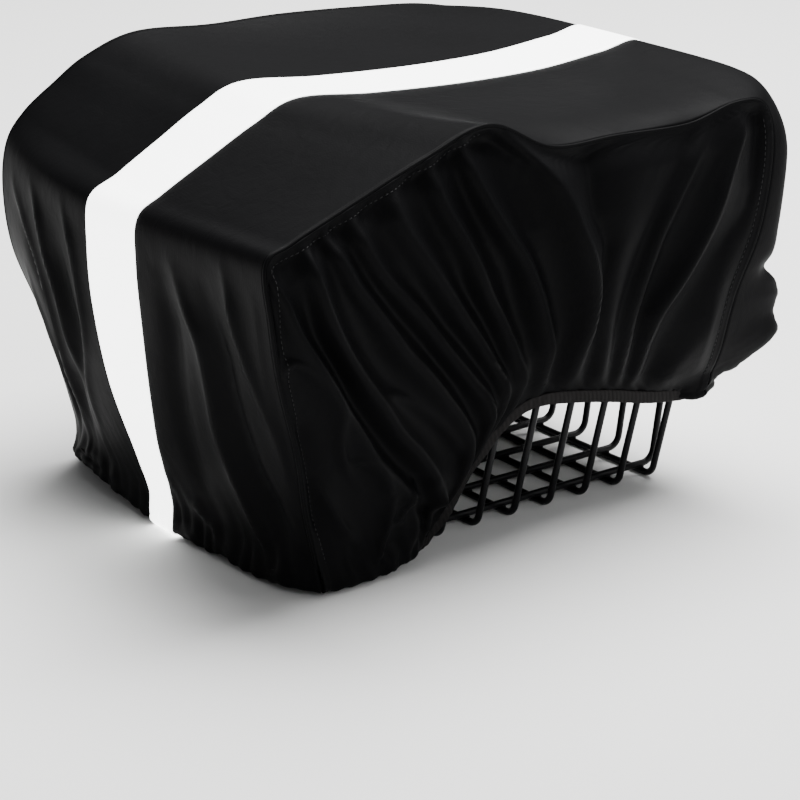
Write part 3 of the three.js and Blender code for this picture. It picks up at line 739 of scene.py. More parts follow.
    def side_grid(self, side: Side, columns: int, rows: int) -> np.ndarray:
        """Points of a side panel with its belly and its folds.

        Args:
            side: Near or far.
            columns: Number of spans from the rear seam to the front seam.
            rows: Number of spans from the top seam to the hem.

        Returns:
            An array of rows, columns and coordinates.
        """
        grid = self._stretched(side, columns, rows)
        for _ in range(self.relax_rounds):
            grid[1:-1, 1:-1] = 0.25 * (grid[:-2, 1:-1] + grid[2:, 1:-1]
                                       + grid[1:-1, :-2] + grid[1:-1, 2:])
        sign = -1.0 if side is Side.NEAR else 1.0
        above_hem = np.linalg.norm(grid - grid[-1:], axis=-1)
        below_top = np.linalg.norm(grid - grid[:1], axis=-1)
        from_seams = np.minimum(np.linalg.norm(grid - grid[:, :1], axis=-1),
                                np.linalg.norm(grid - grid[:, -1:], axis=-1))
        arch = arched(grid[-1:, :, 0])
        blend = mix(HEM_BLEND, self.arch_blend_mm, arch)
        free = smooth(above_hem / blend) * smooth(from_seams / SEAM_BLEND)
        x, z = grid[..., 0], grid[..., 2]
        belly = BELLY.at("out", BELLY.where("z", z)) + self.side_puff
        out = mix(grid[..., 1] * sign, belly, free * smooth(below_top / SEAM_BLEND))
        travel = row_travel(grid)
        if side is Side.FAR:
            travel = travel[:, -1:] * (travel / travel[:, -1:]) ** self.far_drift
        relief = folded(GATHERS, travel, np.linspace(0.0, 1.0, rows + 1)) * self.near_depth
        small = (lifted(SIDE_CREASES, x, z) * smooth(from_seams / self.small_seam_mm)
                 * self.small_depth)
        if side is Side.FAR:
            relief, small = relief * self.far_depth, small * 0.0
        notch = smooth(below_top / self.notch_mm) ** self.notch_power
        draw = mix(self.draw_mm, self.arch_draw_mm, arch)
        out = out + (relief + small) * notch * smooth(above_hem / draw)
        wall = self._clear_width(z)
        cleared = (out + wall + np.hypot(out - wall, EASE)) / 2.0
        held = smooth(2.0 * above_hem / HEM_BLEND) * smooth(from_seams / SEAM_BLEND)
        grid[..., 1] = sign * mix(out, cleared, held)
        return grid

    def _stretched(self, side: Side, columns: int, rows: int) -> np.ndarray:
        """A side panel stretched between its seams and its hem.

        Args:
            side: Near or far.
            columns: Number of spans from the rear seam to the front seam.
            rows: Number of spans from the top seam to the hem.

        Returns:
            An array of rows, columns and coordinates.
        """
        along = np.linspace(0.0, 1.0, columns + 1)
        down = np.linspace(0.0, 1.0, rows + 1)
        at = mix(float(REAR_EDGE), float(FRONT_EDGE), along)
        top = self.seam_inset(side, at)
        rear = self.seam_inset(side, REAR_EDGE * (1.0 - down))
        front = self.seam_inset(side, mix(float(FRONT_EDGE), float(LAST), down))
        hem = self.hem.cloth(side, at, self.cloth_rise, self.cloth_lift)
        hem = (hem + (rear[-1] - hem[0]) * (1.0 - along[:, None]) ** HEM_END_POWER
               + (front[-1] - hem[-1]) * along[:, None] ** HEM_END_POWER)
        a, d = along[None, :, None], down[:, None, None]
        return (top[None] * (1 - d) + hem[None] * d
                + rear[:, None] * (1 - a) + front[:, None] * a
                - top[0] * (1 - a) * (1 - d) - top[-1] * a * (1 - d)
                - rear[-1] * (1 - a) * d - front[-1] * a * d)

    @staticmethod
    def _clear_width(z: np.ndarray) -> np.ndarray:
        """Distance from the centre plane at which cloth clears the wires and the rim.

        Args:
            z: Heights over the floor plane.

        Returns:
            The distance at each height.
        """
        past = np.maximum(0.0, np.abs(z - RIM_HEIGHT) - RIM_BAND)
        rim = FLOOR_HALF_WIDTH + SIDE_FLARE * RIM_HEIGHT - RIM_SLOPE * past
        wall = FLOOR_HALF_WIDTH + SIDE_FLARE * z
        solid = np.where(z > RIM_HEIGHT, rim, np.maximum(wall, rim))
        return solid + WIRE / 2 + EDGE_CLEARANCE + CLOTH_FACE


def row_travel(grid: np.ndarray) -> np.ndarray:
    """Distances along each row of a grid of points."""
    steps = np.linalg.norm(np.diff(grid, axis=1), axis=-1)
    return np.concatenate([np.zeros((len(grid), 1)), np.cumsum(steps, axis=1)], axis=1)


def walk(line: np.ndarray, distance: float) -> np.ndarray:
    """The point at a straight distance from the start of a line of points.

    Args:
        line: Points in order.
        distance: The distance, in millimetres.

    Returns:
        The point.
    """
    away = np.linalg.norm(line - line[0], axis=-1)
    far = int(np.argmax(away > distance))
    share = (distance - away[far - 1]) / (away[far] - away[far - 1])
    return mix(line[far - 1], line[far], share)


def grid_normals(grid: np.ndarray) -> np.ndarray:
    """Unit normals of a grid of points."""
    return unit(np.cross(np.gradient(grid, axis=1), np.gradient(grid, axis=0)))


# Meshes


def place() -> np.ndarray:
    """The CAD frame's place of the middle of the basket floor, in millimetres.

    Returns:
        The place as x, y and z.
    """
    low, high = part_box("cross_wire_1")
    x, y = (low.x + high.x) / 2 / MM, (low.y + high.y) / 2 / MM
    return np.array([x - CROSS_PLACES[0], y, 0.0])


ORIGIN = place()


def to_frame(mesh: bmesh.types.BMesh) -> None:
    """Brings a mesh from millimetres about the basket floor to metres in the CAD frame."""
    bmesh.ops.translate(mesh, vec=Vector(ORIGIN), verts=mesh.verts)
    bmesh.ops.scale(mesh, vec=(MM, MM, MM), verts=mesh.verts)


def as_object(name: str, mesh: bmesh.types.BMesh) -> bpy.types.Object:
    """Turns a finished bmesh into a smooth-shaded object at the origin.

    Args:
        name: The piece's name.
        mesh: Its mesh, which is freed.

    Returns:
        The object.
    """
    data = bpy.data.meshes.new(name)
    mesh.to_mesh(data)
    mesh.free()
    data.shade_smooth()
    piece = bpy.data.objects.new(name, data)
    bpy.context.scene.collection.objects.link(piece)
    return piece


def cloth_object(name: str, grid: np.ndarray, closed: tuple[bool, bool] = (False, False),
                 capped: bool = False) -> bpy.types.Object:
    """Makes a sheet from a grid of points, with a UV map of its distances in metres.

    Args:
        name: The piece's name.
        grid: Points in millimetres, by row and column.
        closed: Whether the rows close on the first row, and the columns on the first column.
        capped: Whether open ends are filled.

    Returns:
        The object, in the CAD frame.
    """
    if closed[0]:
        grid = np.concatenate([grid, grid[:1]], axis=0)
    if closed[1]:
        grid = np.concatenate([grid, grid[:, :1]], axis=1)
    rows, columns = grid.shape[0] - 1, grid.shape[1] - 1
    points = (grid + ORIGIN) * MM
    across = np.zeros(grid.shape[:2])
    along = np.zeros(grid.shape[:2])
    across[:, 1:] = np.cumsum(np.linalg.norm(np.diff(points, axis=1), axis=-1), axis=1)
    along[1:] = np.cumsum(np.linalg.norm(np.diff(points, axis=0), axis=-1), axis=0)
    across -= across[:, columns // 2: columns // 2 + 1]

    mesh = bmesh.new()
    uv_layer = mesh.loops.layers.uv.new("cloth")
    bmesh.ops.create_grid(mesh, x_segments=columns, y_segments=rows, size=1.0)
    spots = {}
    for vertex in mesh.verts:
        i = round((vertex.co.x + 1.0) / 2.0 * columns)
        j = round((vertex.co.y + 1.0) / 2.0 * rows)
        spots[vertex] = (j, i)
        vertex.co = points[j, i]
    for face in mesh.faces:
        for loop in face.loops:
            spot = spots[loop.vert]
            loop[uv_layer].uv = (across[spot], along[spot])
    if any(closed):
        bmesh.ops.remove_doubles(mesh, verts=mesh.verts, dist=1e-6)
    if capped:
        bmesh.ops.holes_fill(mesh, edges=[e for e in mesh.edges if e.is_boundary])
    if closed[1]:
        bmesh.ops.recalc_face_normals(mesh, faces=mesh.faces)
    return as_object(name, mesh)


def thicken(piece: bpy.types.Object, millimetres: float) -> None:
    """Gives a sheet its thickness, towards its inner side.

    Args:
        piece: The sheet.
        millimetres: Its thickness.
    """
    wall = piece.modifiers.new("thickness", "SOLIDIFY")
    wall.thickness = millimetres * MM
    wall.offset = -1.0


def hand_over(piece: bpy.types.Object, material: bpy.types.Material,
              nodes: list[str]) -> None:
    """Dresses a piece, ties it to the body and says which CAD nodes it stands for.

    Args:
        piece: The piece.
        material: Its finish.
        nodes: Names of the CAD nodes it replaces.
    """
    piece.data.materials.append(material)
    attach(piece, BODY)
    if nodes:
        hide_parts(*nodes)
    log.info("%s: %d faces, for %s", piece.name, len(piece.data.polygons), ", ".join(nodes))


# Finishes


def colour(hex_value: str) -> tuple[float, float, float, float]:
    """Turns an sRGB hex colour to linear.

    Args:
        hex_value: The colour, such as #f4f5f6.

    Returns:
        Red, green, blue and an alpha of 1.
    """
    parts = [int(hex_value[k:k + 2], 16) / 255.0 for k in (1, 3, 5)]
    linear = [c / 12.92 if c <= 0.04045 else ((c + 0.055) / 1.055) ** 2.4 for c in parts]
    return (*linear, 1.0)


def add_node(tree: bpy.types.NodeTree, kind: str, settings: dict | None = None,
             links: dict | None = None) -> bpy.types.Node:
    """Adds a node with its settings and links.

    Args:
        tree: The node tree.
        kind: The node's type name.
        settings: Values of its properties, or of its inputs by name.
        links: Sockets that feed its inputs, by name.

    Returns:
        The node.
    """
    node = tree.nodes.new(kind)
    for name, value in (settings or {}).items():
        if hasattr(node, name):
            setattr(node, name, value)
        else:
            node.inputs[name].default_value = value
    for name, socket in (links or {}).items():
        tree.links.new(socket, node.inputs[name])
    return node


def new_material(name: str) -> tuple[bpy.types.Material, bpy.types.NodeTree]:
    """An empty node material with its output node.

    Args:
        name: The material's name.

    Returns:
        The material and its node tree.
    """
    material = bpy.data.materials.new(name)
    material.use_nodes = True
    material.node_tree.nodes.clear()
    add_node(material.node_tree, "ShaderNodeOutputMaterial")
    return material, material.node_tree


def close_material(tree: bpy.types.NodeTree, shader: bpy.types.Node) -> None:
    """Feeds the shader to the material's output."""
    output = next(n for n in tree.nodes if n.type == "OUTPUT_MATERIAL")
    tree.links.new(shader.outputs[0], output.inputs["Surface"])


def wave_scale(millimetres: float) -> float:
    """The scale at which a wave texture's bands are this wide."""
    return 1.0 / (millimetres * MM) / 20.0 * math.pi


def patterned(name: str, pattern: tuple[str, str, dict], on_cloth: bool,
              tones: tuple[str, str], surface: dict,
              relief: tuple[float, float] | None = None) -> bpy.types.Material:
    """Makes a material that one pattern tints and, if wanted, embosses.

    Args:
        name: The material's name.
        pattern: The texture's node type, the output that is read, and its settings.
        on_cloth: Whether the pattern follows the cloth, or else the piece's own space.
        tones: The colours at the pattern's low and high ends.
        surface: The shader's settings.
        relief: Strength of the relief, and its depth in metres.

    Returns:
        The material.
    """
    material, tree = new_material(name)
    kind, reads, settings = pattern
    if on_cloth:
        spot = add_node(tree, "ShaderNodeUVMap", {"uv_map": "cloth"}).outputs["UV"]
    else:
        spot = add_node(tree, "ShaderNodeTexCoord").outputs["Object"]
    height = add_node(tree, kind, settings, {"Vector": spot}).outputs[reads]
    tint = add_node(tree, "ShaderNodeMix", {"data_type": "RGBA"}, {"Factor": height})
    tint.inputs[6].default_value = colour(tones[0])
    tint.inputs[7].default_value = colour(tones[1])
    links = {"Base Color": tint.outputs[2]}
    if relief:
        bump = add_node(tree, "ShaderNodeBump",
                        {"Strength": relief[0], "Distance": relief[1]}, {"Height": height})
        links["Normal"] = bump.outputs["Normal"]
    close_material(tree, add_node(tree, "ShaderNodeBsdfPrincipled", surface, links))
    return material


@dataclass(frozen=True)
class CoatedPolyester:
    """Black woven polyester with a thin coating: soft satin, with fine crumples."""

    name: str = "coated_woven_polyester"
    base: str = "#09090a"
    worn: str = "#0c0c0d"
    roughness: float = 0.5
    specular: float = 0.5
    ior: float = 1.09
    thread_mm: float = 0.9
    crumple_mm: float = 9.0

    def build(self) -> bpy.types.Material:
        """Makes the material. The real threads are 0.25 mm, drawn coarser so that they show.

        Returns:
            The material.
        """
        material, tree = new_material(self.name)
        where = add_node(tree, "ShaderNodeUVMap", {"uv_map": "cloth"})
        weave = []
        for direction in ("X", "Y"):
            weave.append(add_node(
                tree, "ShaderNodeTexWave",
                {"wave_type": "BANDS", "bands_direction": direction, "wave_profile": "SIN",
                 "Scale": wave_scale(self.thread_mm), "Distortion": 0.4, "Detail": 1.0},
                {"Vector": where.outputs["UV"]}))
        threads = add_node(tree, "ShaderNodeMath", {"operation": "MULTIPLY"})
        tree.links.new(weave[0].outputs["Fac"], threads.inputs[0])
        tree.links.new(weave[1].outputs["Fac"], threads.inputs[1])
        spot = add_node(tree, "ShaderNodeTexCoord")
        crumple = add_node(
            tree, "ShaderNodeTexNoise",
            {"Scale": 1.0 / (self.crumple_mm * MM), "Detail": 3.0, "Roughness": 0.5,
             "Distortion": 0.6},
            {"Vector": spot.outputs["Object"]})
        patches = add_node(
            tree, "ShaderNodeTexNoise", {"Scale": 14.0, "Detail": 2.0},
            {"Vector": spot.outputs["Object"]})
        low_bump = add_node(
            tree, "ShaderNodeBump", {"Strength": 0.22, "Distance": 0.0012},
            {"Height": crumple.outputs["Fac"]})
        bump = add_node(
            tree, "ShaderNodeBump", {"Strength": 0.12, "Distance": 0.00018},
            {"Height": threads.outputs[0], "Normal": low_bump.outputs["Normal"]})
        tint = add_node(tree, "ShaderNodeMix", {"data_type": "RGBA"},
                        {"Factor": patches.outputs["Fac"]})
        tint.inputs[6].default_value = colour(self.base)
        tint.inputs[7].default_value = colour(self.worn)
        gloss = add_node(
            tree, "ShaderNodeMapRange",
            {"From Min": 0.3, "From Max": 0.7, "To Min": self.roughness - 0.05,
             "To Max": self.roughness + 0.06},
            {"Value": patches.outputs["Fac"]})
        shader = add_node(
            tree, "ShaderNodeBsdfPrincipled",
            {"IOR": self.ior, "Specular IOR Level": self.specular},
            {"Base Color": tint.outputs[2], "Roughness": gloss.outputs[0],
             "Normal": bump.outputs["Normal"]})
        close_material(tree, shader)
        return material


@dataclass(frozen=True)
class WovenBinding:
    """Black elastic binding: matte, with ribs across its length."""

    name: str = "ribbed_elastic_binding"
    base: str = "#191717"
    # Tone of the rib grooves: painted shade, darker where the bump is low.
    dark: str = "#121111"
    roughness: float = 0.82
    ior: float = 1.2
    rib_mm: float = 1.6
    relief: tuple[float, float] = (0.5, 0.0003)

    def build(self) -> bpy.types.Material:
        """Makes the material. The ribs are real ones at 1.6 mm.

        Returns:
            The material.
        """
        # The grooves between the ribs take the darker tone, which is painted shade.
        ribs = {"wave_type": "BANDS", "bands_direction": "Y", "wave_profile": "SIN",
                "Scale": wave_scale(self.rib_mm), "Distortion": 0.6, "Detail": 1.0}
        return patterned(self.name, ("ShaderNodeTexWave", "Fac", ribs), True,
                         (self.dark, self.base),
                         {"Roughness": self.roughness, "IOR": self.ior}, self.relief)


@dataclass(frozen=True)
class ReflectiveTape:
    """White retroreflective tape: fine glass beads under a smooth film, even, and bright through a
    painted glow that stands in for the flash it sends back.
    """

    name: str = "white_reflective_tape"
    base: str = "#f7f8f7"
    shade: str = "#eceeee"
    roughness: float = 0.35
    ior: float = 1.5
    # Strength of the painted glow: emission in place of the flash that the tape sends back, though
    # the tape is no lamp.
    painted_flash_glow: float = 5.0
    bead_mm: float = 1.1
    relief: tuple[float, float] = (0.08, 0.0002)

    def build(self) -> bpy.types.Material:
        """Makes the material, whose emission is painted light for the sent-back flash. The beads
        are drawn at 1.1 mm, coarser than the real 0.1 mm.

        Returns:
            The material.
        """
        beads = {"feature": "F1", "Scale": 1.0 / (self.bead_mm * MM), "Randomness": 0.5}
        # The emission is painted light, a glow for the flash sent back by the beads.
        surface = {"Roughness": self.roughness, "IOR": self.ior,
                   "Emission Color": colour(self.base), "Emission Strength": self.painted_flash_glow}
        return patterned(self.name, ("ShaderNodeTexVoronoi", "Distance", beads), True,
                         (self.base, self.shade), surface, self.relief)


@dataclass(frozen=True)
class PolyesterThread:
    """Black polyester sewing thread: twisted, with a low sheen."""

    name: str = "twisted_polyester_thread"
    base: str = "#1a1a1b"
    dark: str = "#0e0e0f"
    roughness: float = 0.5
    ior: float = 1.3
    twist_mm: float = 0.7

    def build(self) -> bpy.types.Material:
        """Makes the material. The twist is drawn at 0.7 mm, coarser than the real 0.3 mm.

        Returns:
            The material.
        """
        twist = {"Scale": 1.0 / (self.twist_mm * MM), "Detail": 1.0}
        return patterned(self.name, ("ShaderNodeTexNoise", "Fac", twist), False,
                         (self.dark, self.base),
                         {"Roughness": self.roughness, "IOR": self.ior})


@dataclass(frozen=True)
class DippedWire:
    """Steel wire dipped in black plastic: satin, with a faint unevenness of the coat."""

    name: str = "plastic_dipped_steel_wire"
    base: str = "#060608"
    edge: str = "#0b0b0e"
    roughness: float = 0.38
    ior: float = 1.25
    grain_mm: float = 6.0
    relief: tuple[float, float] = (0.25, 0.0003)

    def build(self) -> bpy.types.Material:
        """Makes the material, with a ripple of the coat about 6 mm long.

        Returns:
            The material.
        """
        ripple = {"Scale": 1.0 / (self.grain_mm * MM), "Detail": 3.0}
        return patterned(self.name, ("ShaderNodeTexNoise", "Fac", ripple), False,
                         (self.base, self.edge),
                         {"Roughness": self.roughness, "IOR": self.ior}, self.relief)


@dataclass(frozen=True)
class MatteFloor:
    """Pale studio floor: a matte sheet with hardly any grain."""

    name: str = "pale_studio_floor"
    base: str = "#f1f1f0"
    shade: str = "#ececeb"
    roughness: float = 0.9
    specular: float = 0.1

    def build(self) -> bpy.types.Material:
        """Makes the material.

        Returns:
            The material.
        """
        grain = {"Scale": 3.0, "Detail": 2.0}
        surface = {"Roughness": self.roughness, "Specular IOR Level": self.specular}
        return patterned(self.name, ("ShaderNodeTexNoise", "Fac", grain), False,
                         (self.base, self.shade), surface)


# Pieces


@dataclass
class WireRun:
    """A wire under construction: a ring of its section, drawn out and bent."""

    start: Vector
    direction: Vector
    radius: float = WIRE / 2
    sides: int = 16

    def __post_init__(self) -> None:
        """Starts the mesh with the first ring."""
        self.mesh = bmesh.new()
        turn = self.direction.to_track_quat("Z", "Y").to_matrix().to_4x4()
        turn.translation = self.start
        made = bmesh.ops.create_circle(self.mesh, cap_ends=True, segments=self.sides,
                                       radius=self.radius, matrix=turn)
        self.ring = [e for v in made["verts"] for e in v.link_edges]
        self.ring = list(dict.fromkeys(self.ring))
        self.centre = self.start.copy()

    def _verts(self) -> list[bmesh.types.BMVert]:
        """The corners of the last ring."""
        return list(dict.fromkeys(v for e in self.ring for v in e.verts))

    def straight(self, length: float) -> None:
        """Draws the wire out by a length.

        Args:
            length: The length, in millimetres.
        """
        made = bmesh.ops.extrude_edge_only(self.mesh, edges=self.ring)
        self.ring = [g for g in made["geom"] if isinstance(g, bmesh.types.BMEdge)
                     and all(v in made["geom"] for v in g.verts)]
        step = self.direction * length
        bmesh.ops.translate(self.mesh, vec=step, verts=self._verts())
        self.centre = self.centre + step

    def bend(self, towards: Vector, radius: float, steps: int) -> None:
        """Bends the wire to a new direction.

        Args:
            towards: Unit direction after the bend.
            radius: Radius of the bend at the wire's middle.
            steps: Number of spans round the bend.
        """
        axis = self.direction.cross(towards).normalized()
        hub = self.centre + axis.cross(self.direction) * radius
        angle = self.direction.angle(towards)
        made = bmesh.ops.spin(self.mesh, geom=[*self._verts(), *self.ring], cent=hub, axis=axis,
                              angle=angle, steps=steps, use_merge=False, use_duplicate=False)
        self.ring = [g for g in made["geom_last"] if isinstance(g, bmesh.types.BMEdge)]
        arm = self.centre - hub
        turned = arm.copy()
        turned.rotate(towards.rotation_difference(self.direction).inverted())
        self.centre = hub + turned
        self.direction = towards.copy()

    def finished(self, name: str) -> bpy.types.Object:
        """Closes the ends and makes the object, from millimetres to metres.

        Args:
            name: The piece's name.

        Returns:
            The wire.
        """
        open_edges = [e for e in self.mesh.edges if e.is_boundary]
        bmesh.ops.holes_fill(self.mesh, edges=open_edges, sides=self.sides)
        bmesh.ops.recalc_face_normals(self.mesh, faces=self.mesh.faces)
        to_frame(self.mesh)
        return as_object(name, self.mesh)


@dataclass
class WireBasket:
    """The basket: bent cross wires, long wires on top of them, and the rim."""

    finish: DippedWire = field(default_factory=DippedWire)
    bend_steps: int = 8
    rim_steps: int = 14
    bead_mm: float = 2.0
    bead_flatness: float = 0.55
    bead_drop_mm: float = 2.2
    bead_wall_drop_mm: float = 1.6

    def build(self) -> None:
        """Makes all wires."""
        material = self.finish.build()
        along, aside = Vector((1, 0, 0)), Vector((0, 1, 0))
        for kind, places, half_floor, flare, height, step, way in (
                ("cross", CROSS_PLACES, FLOOR_HALF_WIDTH, SIDE_FLARE, WIRE / 2, along, aside),
                ("long", LONG_PLACES, FLOOR_HALF_LENGTH, END_FLARE, WIRE * 1.5 + GAP,
                 aside, along)):
            for number, spot in enumerate(places, 1):
                wire = self._bent(half_floor, flare, height, step * spot, way)
                hand_over(wire.finished(f"basket_{kind}_wire_{number}"), material,
                          [f"{kind}_wire_{number}"])
        hand_over(self._rim(), material, ["rim_wire"])
        hand_over(self._welds(), material, [])

    def _bent(self, half_floor: float, flare: float, height: float, base: Vector,
              way: Vector) -> WireRun:
        """A wire that runs down one wall, over the floor and up the other wall.

        Args:
            half_floor: Half the floor's size along the wire.
            flare: How much the wall leans out for each unit of height.
            height: Height of the wire's middle on the floor.
            base: The wire's place on the floor plane.
            way: Unit direction of the wire on the floor.

        Returns:
            The wire, ready to be finished.
        """
        up = Vector((0, 0, 1))
        lean = math.atan(flare)
        turn = math.pi / 2 - lean
        reach = BEND_RADIUS * math.tan(turn / 2)
        corner = half_floor + flare * height
        top = RIM_HEIGHT - (WIRE / 2 + GAP) * math.cos(lean)
        wall = (top - height) / math.cos(lean)
        down = (way * math.sin(lean) - up * math.cos(lean)).normalized()
        start = base - way * (half_floor + flare * top) + up * top
        wire = WireRun(start, down)
        wire.straight(wall - reach)
        wire.bend(way, BEND_RADIUS, self.bend_steps)
        wire.straight(2 * (corner - reach))
        wire.bend((way * math.sin(lean) + up * math.cos(lean)).normalized(), BEND_RADIUS,
                  self.bend_steps)
        wire.straight(wall - reach)
        return wire

    def _rim(self) -> bpy.types.Object:
        """The rim, whose ends meet behind the basket.

        Returns:
            The rim.
        """
        half_length = FLOOR_HALF_LENGTH + END_FLARE * RIM_HEIGHT
        half_width = FLOOR_HALF_WIDTH + SIDE_FLARE * RIM_HEIGHT
        in_x, in_y = half_length - RIM_CORNER_RADIUS, half_width - RIM_CORNER_RADIUS
        wire = WireRun(Vector((-half_length, GAP / 2, RIM_HEIGHT)), Vector((0, 1, 0)))
        ways = [Vector((1, 0, 0)), Vector((0, -1, 0)), Vector((-1, 0, 0)), Vector((0, 1, 0))]
        runs = [in_y - GAP / 2, 2 * in_x, 2 * in_y, 2 * in_x]
        for run, way in zip(runs, ways):
            wire.straight(run)
            wire.bend(way, RIM_CORNER_RADIUS, self.rim_steps)
        wire.straight(in_y - GAP / 2)
        return wire.finished("basket_rim_wire")

    def _welds(self) -> bpy.types.Object:
        """Beads of coating where the floor wires cross and where wires meet the rim.

        Returns:
            All beads as one piece.
        """
        mesh = bmesh.new()
        spots = [(x, y, WIRE + GAP / 2) for x in CROSS_PLACES for y in LONG_PLACES]
        wall, top = RIM_HEIGHT - self.bead_wall_drop_mm, RIM_HEIGHT - self.bead_drop_mm
        wide = FLOOR_HALF_WIDTH + SIDE_FLARE * wall
        far = FLOOR_HALF_LENGTH + END_FLARE * wall
        spots += [(x, s * wide, top) for x in CROSS_PLACES for s in (-1, 1)]
        spots += [(s * far, y, top) for y in LONG_PLACES for s in (-1, 1)]
        for spot in spots:
            made = bmesh.ops.create_icosphere(mesh, subdivisions=1, radius=self.bead_mm)
            bmesh.ops.scale(mesh, vec=(1.0, 1.0, self.bead_flatness), verts=made["verts"])
            bmesh.ops.translate(mesh, vec=spot, verts=made["verts"])
        to_frame(mesh)
        return as_object("basket_weld_beads", mesh)


@dataclass
class RainCover:
    """The cover: its centre panel, side panels, piping, tape and binding."""

    cloth: CoatedPolyester = field(default_factory=CoatedPolyester)
    binding: WovenBinding = field(default_factory=WovenBinding)
    tape: ReflectiveTape = field(default_factory=ReflectiveTape)
    drape: Drape = field(default_factory=Drape)
    cloth_mm: float = 0.7
    tape_mm: float = 0.5
    rows: int = 300
    half_columns: int = 60
    strip_columns: int = 10
    piping_mm: float = 1.1
    binding_proud_mm: float = 0.4
    arch_proud_mm: float = 1.6
    loose_corner_mm: float = 16.0
    corner_puff_mm: float = 2.0
    slim_piping_mm: float = 0.95
    cuts: dict[Side, np.ndarray] = field(default_factory=dict)
    end_gather: tuple[float, ...] = (1.1, 6.0, 16.0, 11.0)
    hem_gather: EdgeGather = EdgeGather(1.0, 5.0, 12.0, 8.0, 1.1)
    hem_gather_mm: tuple[float, float] = (1.3, 0.8)
    top_gather: EdgeGather = EdgeGather(0.5, 5.0, 12.0, 9.0, 0.4)
    topstitch_mm: float = 4.7
    allowance_mm: float = 0.5
    flat_run: tuple[float, float] = (0.42, 0.95)
    flat_ease: tuple[float, float] = (0.06, 0.04)
    stitch_mm: float = 2.3
    stitch_pitch_mm: float = 3.1
    thread_mm: float = 0.3
    stitched_rows: tuple[int, int] = (12, -8)
    stitched_top: tuple[int, float] = (4, 0.44)
    puff_mm: tuple[float, float] = (2.6, 0.9)
    puff_wave: tuple[float, float] = (13.0, 0.9)
    puff_reach_mm: float = 16.0
    ruffle_mm: float = 0.7
    ruffle_wave: tuple[float, float] = (11.0, 2.2)
    binding_wave_mm: float = 0.25
    binding_wave: tuple[float, float] = (7.0, 0.3)
    slim_run: tuple[float, float] = (9.0, 1.5)
    cover_ease_mm: tuple[float, float] = (15.0, 12.0)
    bare_binding: tuple[float, float] = (-60.0, 112.0)
    turn_under: tuple[tuple[float, float], ...] = (
        (3.4, 1.25), (1.8, 1.3), (0.6, 1.1), (0.0, 0.6), (0.0, 0.0), (0.5, -0.5))
    inside_binding: tuple[float, ...] = (4.6, 4.2, 3.8, 3.4, 3.0, 2.6)

    def build(self) -> None:
        """Makes all pieces of the cover."""
        cloth = self.cloth.build()
        grid = self._wrinkled_centre()
        hemmed = self._hemmed_centre(grid)
        centre = cloth_object("cover_centre_panel", self._faced(hemmed))
        thicken(centre, self.cloth_mm)
        hand_over(centre, cloth, ["centre_panel"])
        strip = self._strip(hemmed)
        hand_over(strip, self.tape.build(), ["reflective_strip"])
        thread = PolyesterThread().build()
        piping, panels, stitches = {}, {}, {}
        for side, name, columns, rows in ((Side.NEAR, "right", 240, 150),
                                          (Side.FAR, "left", 160, 90)):
            panels[side] = self._side_panel(side, name, columns, rows)
            hand_over(panels[side], cloth, [f"side_panel_{name}"])
            piping[side] = self._piping(side, name)
            hand_over(piping[side], cloth, [f"piping_{name}"])
            stitches[side] = self._topstitch(side, name)
            hand_over(stitches[side], thread, [])
        band = self._binding()
        hand_over(band, self.binding.build(), ["hem_binding"])
        rim = ["basket_rim_wire"]
        self._declare(centre, grid, "draped", rim, [])
        self._declare(strip, grid[:, self.half_columns:-self.half_columns], "draped",
                      [centre.name], [])
        self._declare(panels[Side.NEAR], self.cuts[Side.NEAR], "gathered", rim,
                      [piping[Side.NEAR], stitches[Side.NEAR], band])
        self._declare(panels[Side.FAR], self.cuts[Side.FAR], "gathered", rim,
                      [piping[Side.FAR], stitches[Side.FAR]])

    @staticmethod
    def _declare(piece: bpy.types.Object, grid: np.ndarray, held: str, rests_on: list[str],
                 with_pieces: list[bpy.types.Object]) -> None:
        """Declares a sheet with the size of its flat cut, read along its cloth.

        Args:
            piece: The sheet; not used.
            grid: Its points, by row and column, in millimetres; not used.
            held: How it is held; not used.
            rests_on: Names of what it lies on or hangs from; not used.
            with_pieces: What is sewn to it; not used.
        """

    @staticmethod
    def _faced(grid: np.ndarray, offset: float = CLOTH_FACE) -> np.ndarray:
        """A grid moved out to the cloth's outer face."""
        return grid + grid_normals(grid) * offset

    def _wrinkled_centre(self) -> np.ndarray:
        """The centre panel's grid with its fine gathers at the two hems.

        Returns:
            The grid.
        """
        grid = self.drape.centre_grid(self.rows, self.half_columns, self.strip_columns)
        normals = grid_normals(grid)
        across = row_travel(grid)
        for end, seed in ((0, 0.7), (-1, 2.1)):
            away = np.linalg.norm(grid - grid[end], axis=-1)
            height = EdgeGather(*self.end_gather, seed).lift(away, across)
            grid = grid + normals * height[..., None]
        return grid

    def _hemmed_centre(self, grid: np.ndarray) -> np.ndarray:
        """The centre panel, carried over the binding and turned under at both hems.

        Args:
            grid: The panel's points.

        Returns:
            The points with the rows that go over both hems.
        """
        cover = np.ones(grid.shape[1])
        grid = self._over_binding(grid[::-1], cover)[::-1]
        return self._over_binding(grid, cover)

    def _strip(self, grid: np.ndarray) -> bpy.types.Object:
        """The tape, which follows the centre panel from hem to hem.

        Args:
            grid: The centre panel's points.

        Returns:
            The tape.
        """
        first = self.half_columns
        under = grid[:, first:first + self.strip_columns + 1]
        piece = cloth_object("cover_reflective_tape",
                             self._faced(under, CLOTH_FACE + self.tape_mm))
        thicken(piece, self.tape_mm)
        return piece

